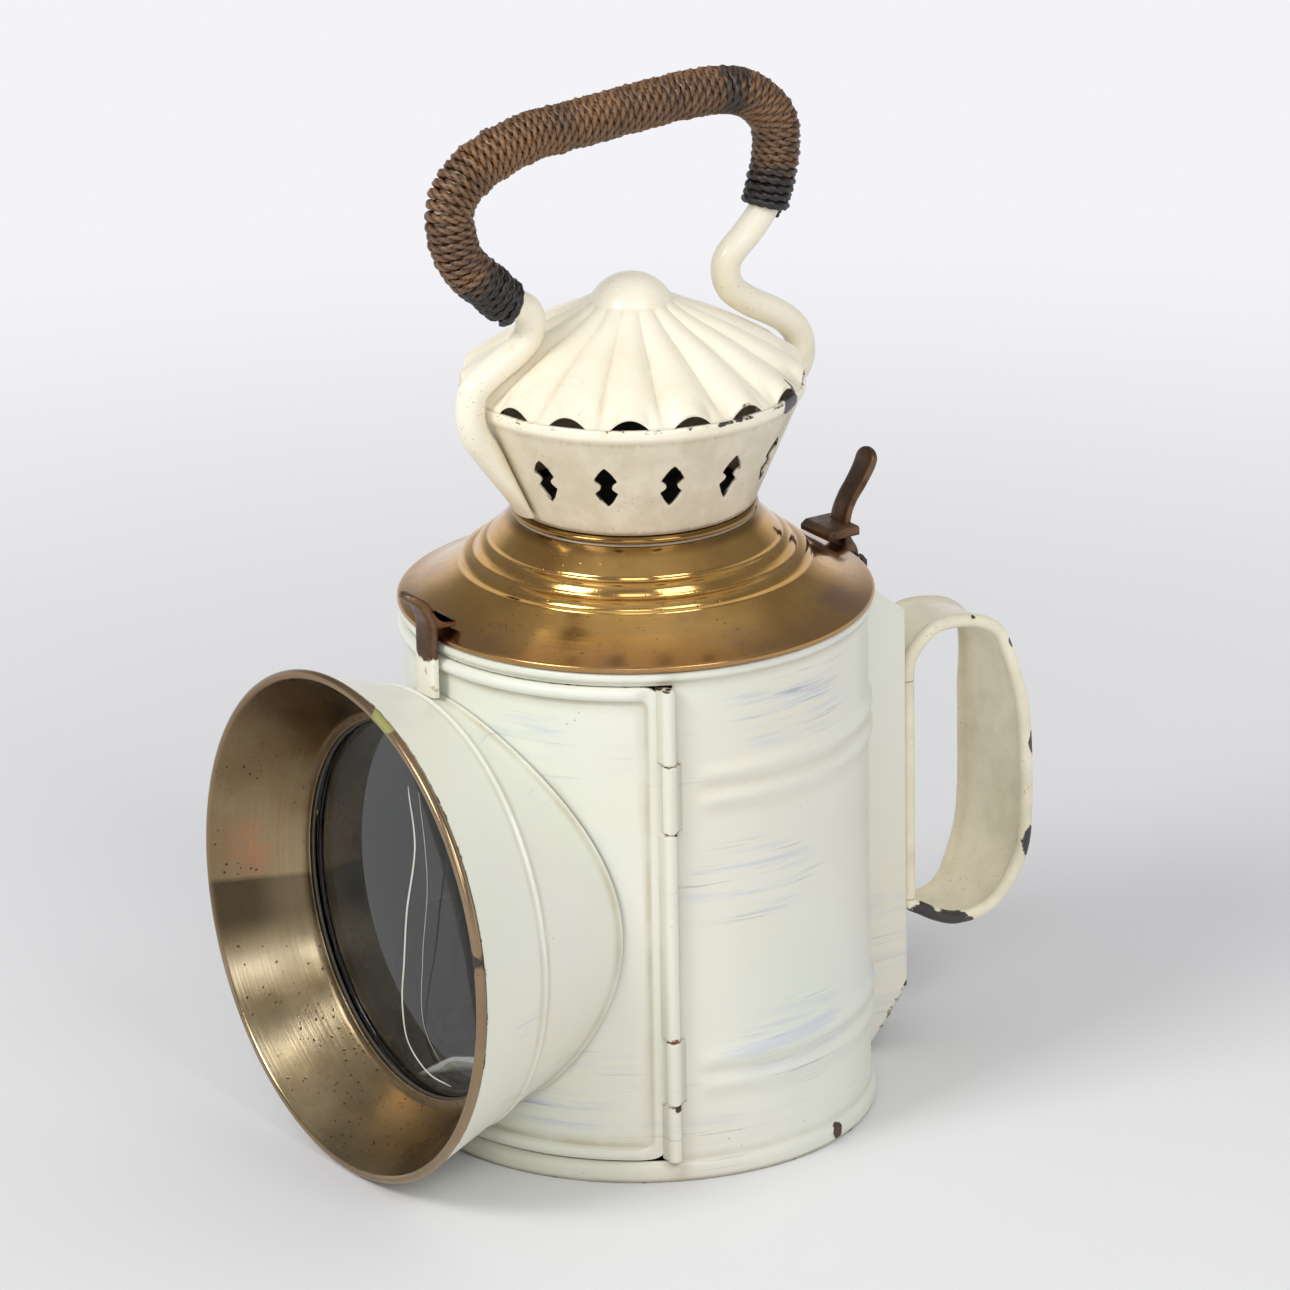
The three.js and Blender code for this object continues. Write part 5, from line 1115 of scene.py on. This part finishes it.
def make_cap(paint):
    """The fluted cap: z = 231.6 + 26.8·curve(s) + 2.9·fade(s)·crest, where f is the place between two
    valleys and crest runs from 1 − |2f|^2.2 near the button to 1 − (|2f|/0.62)² at the rim, so that narrow
    pointed gaps open there and the valleys rest on the chimney. A second skin lies 1.1 below."""
    hole, edge, rim, high, flute_high = 4.5, 51.5, 231.6, 26.8, 2.9
    azimuth = around(FLUTES * 30, 360)[:, None] + CREST
    s = np.concatenate([[1.0], np.linspace(0.996, 0.0, 56)])
    curve = smooth_line([[0, 1], [0.15, 0.885], [0.32, 0.7], [0.55, 0.475], [0.78, 0.24], [1, 0]], 400)
    fade = smooth_line([[0, 0], [0.15, 0.12], [0.32, 0.45], [0.55, 0.82], [0.8, 0.98], [1, 1]], 400)
    flute = ((azimuth - CREST) / 360 * FLUTES) % 1
    offset = np.abs(2 * np.where(flute > 0.5, flute - 1, flute))
    wide, narrow = 1 - offset**2.2, clamp(1 - (offset / 0.62) ** 2)
    at_rim = ease((s - 0.86) / 0.14)
    crest = wide * (1 - at_rim) + narrow * at_rim
    z = rim + high * read(curve, s) + flute_high * read(fade, s) * crest - 0.3 * at_rim * (1 - narrow)
    r = hole + (edge - hole) * s
    upper = polar(r, azimuth, z + 1.1 - 0.35 * ease((s - 0.97) / 0.03) ** 2)
    valley = clamp(offset**10 * 1.4) * read(fade, s)
    wear = clamp((s - 0.965) / 0.03) * (0.12 + 0.3 * crest + 0.4 * hump(azimuth % 360, 30, 22))
    skin = Skin().grid(
        np.hstack([upper, polar(r, azimuth, z)[:, ::-1]]),
        True,
        True,
        wear=np.hstack([wear, wear[:, ::-1]]),
        grime=np.hstack([valley * 0.55, valley * 0 + 0.5]),
    )
    skin.piece("fluted_cap_skin", paint, "top", ("fluted_cap",), "chimney_paint", 45)
    share = (11.2 - hole) / (edge - hole)
    base = rim + high * read(curve, share) + flute_high * read(fade, share) + 1.4
    dome = [[14.2, -2.3], [12.6, -1.0], [10.9, 1.5], [8.6, 3.9], [5.6, 5.7], [2.6, 6.45], [0, 6.6]]
    under = [[0, -3.3], [3.9, -3.3], [3.9, -1.0], [13.2, -2.6]]
    profile = finer(np.vstack([under, smooth_line(dome, 60)]) + [0, base], 0.6)
    grime = hump(profile[:, 1], base - 1.6, 0.7) * 0.4 * (profile[:, 0] > 8)
    turned(profile, 160, grime=grime).piece("cap_dome", paint, "top", ("cap_button",), "chimney_paint", 50)


BAIL = [  # shares of the width from the axis to the side and of the height over the cone's foot
    [-0.624, 0.022], [-0.684, 0.076], [-0.756, 0.138], [-0.827, 0.2], [-0.883, 0.245], [-0.908, 0.285],
    [-0.908, 0.32], [-0.888, 0.361], [-0.795, 0.397], [-0.648, 0.439], [-0.581, 0.471], [-0.565, 0.506],
    [-0.581, 0.537], [-0.64, 0.559], [-0.698, 0.57], [-0.806, 0.623], [-0.908, 0.671], [-0.962, 0.714],
    [-0.994, 0.774], [-1, 0.818], [-0.971, 0.86], [-0.914, 0.898], [-0.824, 0.929], [-0.687, 0.956],
    [-0.532, 0.974], [-0.34, 0.98], [-0.141, 0.987], [0.057, 0.994], [0.257, 1], [0.446, 0.999],
    [0.565, 0.992], [0.692, 0.967], [0.771, 0.934], [0.822, 0.899], [0.838, 0.849], [0.827, 0.783],
    [0.8, 0.736], [0.76, 0.673], [0.67, 0.62], [0.6, 0.589], [0.549, 0.559], [0.54, 0.525],
    [0.57, 0.484], [0.678, 0.439], [0.781, 0.409], [0.878, 0.376], [0.948, 0.333], [0.967, 0.285],
    [0.935, 0.242], [0.86, 0.207], [0.756, 0.138], [0.684, 0.076], [0.624, 0.022],
]
FLAT = [  # share along the rod and share of its thickness there
    [0, 0.29], [0.02, 0.49], [0.043, 0.76], [0.066, 1], [0.934, 1], [0.957, 0.76], [0.98, 0.49], [1, 0.29],
]
ROD = 4.5


def bail_line(count):
    """The rod's line and its normals in the upright plane."""
    return upright_line(np.array(BAIL) * [63, 121.8] + [0, CONE[1]], count)


def make_bail(paint):
    """The rod, round but for its flattened feet: a section of 4.5·cos a by 4.5·flat(s)·sin a carried along
    the bent line."""
    line, normal = bail_line(420)
    share = np.linspace(0, 1, len(line))[:, None]
    thin = softened(read(FLAT, share[:, 0]), 4)[:, None]
    a = around(28)
    section = np.stack([(ROD + 1.5 * (1 - thin)) * np.cos(a), ROD * thin * np.sin(a)], axis=2)
    grime = 0.9 * clamp(1 - share / 0.03) + 0.9 * clamp(1 - (1 - share) / 0.03)
    skin = swept(line, normal, section, wear=0.12, grime=grime)
    skin.piece("bail", paint, "top", ("bail_rod",), "chimney_paint", 50)


def make_winding(cord):
    """The cord on the grip: P = line(s) + 5.95·outward(a), a = 2π·77·s, pushed out unevenly at the left
    bend, and round it three strands whose joint outline is r = δcosθ + √(s² − δ²sin²θ), turned by one
    strand every 3.2 mm."""
    turns, steps, sides, pitch = 77, 38, 18, 3.2
    first_share, last_share = 0.2243, 0.7276
    line, normal = bail_line(3000)
    share = np.linspace(0, 1, turns * steps + 1)
    at = (first_share + (last_share - first_share) * share) * (len(line) - 1)
    centre, up = (picked(at, np.arange(len(line)), v) for v in (line, normal))
    angle = (TURN * turns * share)[:, None]
    outward = unit(up) * np.cos(angle) + np.array(ACROSS) * np.sin(angle)
    rng = np.random.default_rng(7)
    knots = np.arange(0, turns + 0.5, 0.5)
    kinds = (rng.normal, 0, 0.12), (rng.uniform, -0.1, 1.0), (rng.normal, 0, 0.3)
    draws = [kind(*sizes, len(knots)) for kind, *sizes in kinds]
    shaken, pushed, thicker = (np.interp(share * turns, knots, values) for values in draws)
    loose = shaken + pushed * hump(share, 0.27, 0.12) * 0.8
    cord_radius = (1.58 + 0.1 * thicker)[:, None]
    place = centre + outward * (ROD + 1.45 + loose)[:, None]
    forward = heading(place)
    first = unit(outward - np.sum(outward * forward, axis=1, keepdims=True) * forward)
    theta = around(sides)
    third = TURN / 3
    local = (theta - third * reaches(place)[:, None] / pitch + third / 2) % third - third / 2
    strand = cord_radius / 2.155
    shift = 1.155 * strand
    outline = shift * np.cos(local) + np.sqrt(np.maximum(strand**2 - (shift * np.sin(local)) ** 2, 0))
    outline = 0.88 * outline + 0.12 * cord_radius
    section = np.stack([outline * np.cos(theta), outline * np.sin(theta)], axis=2)
    # How high on a strand each point lies; the cord's finish paints highlights on the tops and shade in the
    # gaps from it.
    high = clamp((outline / cord_radius - 0.6) / 0.4 * (0.675 + 0.325 * np.cos(theta)))
    skin = swept(place, np.cross(forward, first), section, first, along=share[:, None], high=high)
    skin.piece("cord_winding", cord, "top", ("grip_winding",), "grip_cord", 70)


def make_wick(cotton):
    """The flat woven wick: a rounded strip 13.2 by 1.2 mm and 58.3 high, whose faces stand out by
    0.1·sin(2πx/1.1)·sin(2πz/1.1) for the weave, with a scorched, slightly frayed top."""
    half, weave = 0.58, 1.1
    a = around(120)
    u = 6.6 * np.sign(np.cos(a)) * np.abs(np.cos(a)) ** 0.35
    v = half * np.sign(np.sin(a)) * np.abs(np.sin(a)) ** 0.5
    z = np.linspace(12.0, 70.3, 320)[:, None]
    woven = 0.1 * np.sin(TURN * u / weave) * np.sin(TURN * z / weave)
    fray = 0.12 * np.sin(u * 7) * ease((z - 68.5) / 1.8)
    side = 1 + (woven + fray) / half * (np.abs(v) > 0.2)
    xyz = np.stack([u + 0 * z, v * side, z + fray], axis=2)
    skin = Skin().grid(xyz, round_v=True, lids=True, scorch=ease((z - 66) / 4))
    skin.piece("cotton_wick", cotton, "wick_strip", ("wick",), "wick_cotton", 70)


DISH_FACE = [  # radius and distance behind the body's axis
    [0, 40.2], [12.6, 37.0], [21.6, 30.7], [28.8, 23.2], [36, 13.7],
]
DISH_BACK = [[4, 41.2], [12.9, 38.2], [22.3, 31.6], [29.8, 23.9], [37.1, 13.9]]


def make_burner(brass, tin):
    """The oil font with its domed shoulder and rolled foot, and the dished mirror with its boss, all turned;
    the mirror's back lies 1.2 behind its face."""
    font = [[0, 1.8], [34.7, 1.8], [34.7, 36], [10.5, 40], [10.5, 39.2], [33.9, 35.2], [33.9, 2.6], [0, 2.6]]
    font = finer(rounded(font, [0, 1.2, 2.5, 0.3, 0.3, 2, 0.8, 0], 6), 0.8)
    turned(font, 160).piece("brass_font", brass, "body", ("oil_font",), "burner_brass", 40)
    face, back = smooth_line(DISH_FACE, 60), smooth_line(DISH_BACK, 60)[::-1]
    dish = np.vstack([face, [[36.5, 13.5]], back, [[4, 44.3], [0, 44.3]]]) * [1, -1]
    turned(dish, 160, about_lens).piece("tin_mirror", tin, "body", ("reflector",), "inner_steel", 40)


def make_floor():
    """A wide pale floor that the lamp stands on. Far from the lamp, where no shadow falls, the eye, metal and
    glass see it as bright as the backdrop."""
    f = Finish("pale_floor")
    away = f.node("ShaderNodeVectorMath", {"operation": "LENGTH"}, {0: f.place}, "Value")
    f.tone = f.mix(f.patchy(1.2, 3, 0.5), (232, 232, 234), (227, 227, 229))
    near = f.principled(Roughness=0.62, Specular_IOR_Level=0.25)
    far = f.node("ShaderNodeEmission", {}, {"Color": srgb((244, 244, 248)), "Strength": 1.0})
    both = f.node("ShaderNodeMixShader", {}, {0: away.step(0.22, 0.95) * f.seen(), 1: near, 2: far})
    f.end("ShaderNodeOutputMaterial", both)
    reach = np.linspace(-6000, 6000, 13)
    x, y = np.meshgrid(reach, reach, indexing="ij")
    skin = Skin().grid(np.stack([x, y, 0 * x - 0.02], axis=2))
    floor = add_object("floor", skin.mesh("floor", f.material))


def make_world():
    """Plain studio surroundings: an even light on everything. The eye, metal and glass see a backdrop that
    is pale near the floor, darkens up to 25 degrees and stays grey, a little lighter overhead."""
    world = bpy.data.worlds.new("studio")
    bpy.context.scene.world = world
    world.use_nodes = True
    s = Shading(world.node_tree)
    rise = s.node("ShaderNodeSeparateXYZ", {}, {0: s.place}, "Z")
    bright = rise.step(0.1, 0.42, 0.93, 0.28) + rise.step(0.7, 0.97, 0.0, 0.3)
    seen = s.node("ShaderNodeBackground", {}, {"Color": (0.985, 0.98, 1.0, 1), "Strength": bright})
    felt = s.node("ShaderNodeBackground", {}, {"Color": (0.97, 0.98, 1.0, 1), "Strength": WORLD_LIGHT})
    s.end("ShaderNodeOutputWorld", s.node("ShaderNodeMixShader", {}, {0: s.seen(), 1: felt, 2: seen}))


def dress(material, *nodes):
    """A better material on CAD nodes that keep their shape."""
    for name in nodes:
        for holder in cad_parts[name].material_slots:
            holder.material = material


bpy.context.scene.view_settings.view_transform = "Standard"
add_camera()
make_world()
for lamp in LAMPS:
    add_softbox(*lamp)
make_floor()

BODY_SPOTS = [  # centre, radius, colour, and how it is flattened
    ((19.3, -67.8, 138.7), 2.2, (176, 132, 92)),
    ((65.4, 26.3, 3.4), 2.6, (70, 52, 38)),
    ((66.0, -31.5, 47.0), 1.2, (60, 48, 38)),
    ((66.0, -31.0, 25.0), 1.6, (58, 46, 36)),
    ((65.5, -32.0, 46.5), 1.6, (140, 96, 60)),
]
TOP_SPOTS = [
    ((43.7, 27.3, 229.5), 4.6, (70, 66, 68), (1.0, 1.0, 1.3)),
    ((41.0, 28.0, 234.0), 2.6, (72, 68, 70)),
    ((14.3, -40.6, 219.5), 1.4, (160, 84, 46)),
]
HANDLE_SPOTS = [
    ((12.5, 96.5, 39.5), 5.6, (54, 51, 50)),
    ((13.0, 105.0, 35.0), 5.2, (60, 56, 52), (1.0, 0.7, 1.0)),
    ((14.0, 113.0, 34.0), 2.4, (72, 66, 60)),
    ((18.9, 133.0, 58.0), 2.7, (60, 56, 58), (1.0, 1.0, 0.45)),
    ((19.0, 134.7, 92.0), 2.2, (66, 62, 62), (1.0, 1.0, 0.4)),
    ((13.3, 130.8, 124.0), 1.8, (70, 62, 56)),
    ((12.6, 116.5, 135.3), 1.4, (70, 62, 56)),
]

body_white = white_paint("white_paint", BODY_SPOTS)
top_cream = cream_paint("cream_paint", TOP_SPOTS)
handle_cream = cream_paint("handle_cream", HANDLE_SPOTS, (248, 240, 215), (236, 226, 198), 0.34)
brass, liner, cord, burner = spun_brass(), liner_brass(), tarred_cord(), burner_brass()
bronze, hook_bronze = dark_bronze("dark_bronze"), dark_bronze("hook_bronze", 158.8)
soot_and_shade = sooty_steel("sooty_steel", (96, 94, 90), (44, 42, 40), 0.6, (0.42, 0.62))
# Painted shade: smoke-darkened steel made nearly black, to paint the shade inside the closed lamp.
painted_shade_inside = sooty_steel("painted_shade_inside", (46, 45, 44), (24, 23, 23), 0.0, (0.6, 0.8))
tin = sooty_steel("tinned_mirror", (196, 194, 188), (140, 136, 128), 1.0, (0.12, 0.3))
glass = clear_glass("clear_glass")
packing = plain_soft("packing", (92, 84, 74), (60, 54, 48), 0.85)
# Painted highlight: the matt near-white finish of the glint ridges on the lens.
glint_finish = plain_soft("painted_glint", (240, 238, 226), (186, 184, 170), 0.4)
cotton = plain_soft("cotton", (222, 212, 188), (176, 162, 132), 0.95, "scorch")

make_body_shell(body_white, painted_shade_inside)
make_door(body_white, painted_shade_inside)
make_hinge(body_white)
make_hood(body_white, painted_shade_inside)
make_liner(liner)
make_lens(glass, packing, soot_and_shade)
make_painted_glints(glint_finish)
make_socket(body_white)
make_handle(handle_cream)
make_clips(bronze, hook_bronze)
make_shoulder(brass)
make_cone(top_cream)
make_cap(top_cream)
make_bail(top_cream)
make_winding(cord)
make_wick(cotton)
make_burner(burner, tin)

dress(soot_and_shade, "catch_bracket", "catch_pin", "hinge_pin")
# The inner parts take the nearly black lining too, as painted shade.
dress(painted_shade_inside, "shoulder_skirt", "shade_ring", "shade_frame", "floor_plate", "font_seat", "inner_chimney")
dress(painted_shade_inside, "flame_cone", "reflector_post")
dress(burner, "filler_cap", "burner_collar", "wick_tube", "wick_wheel", "wick_spindle", "wick_knob")
dress(clear_glass("red_glass_finish", (200, 24, 20)), "red_glass")
dress(clear_glass("green_glass_finish", (30, 150, 80)), "green_glass")
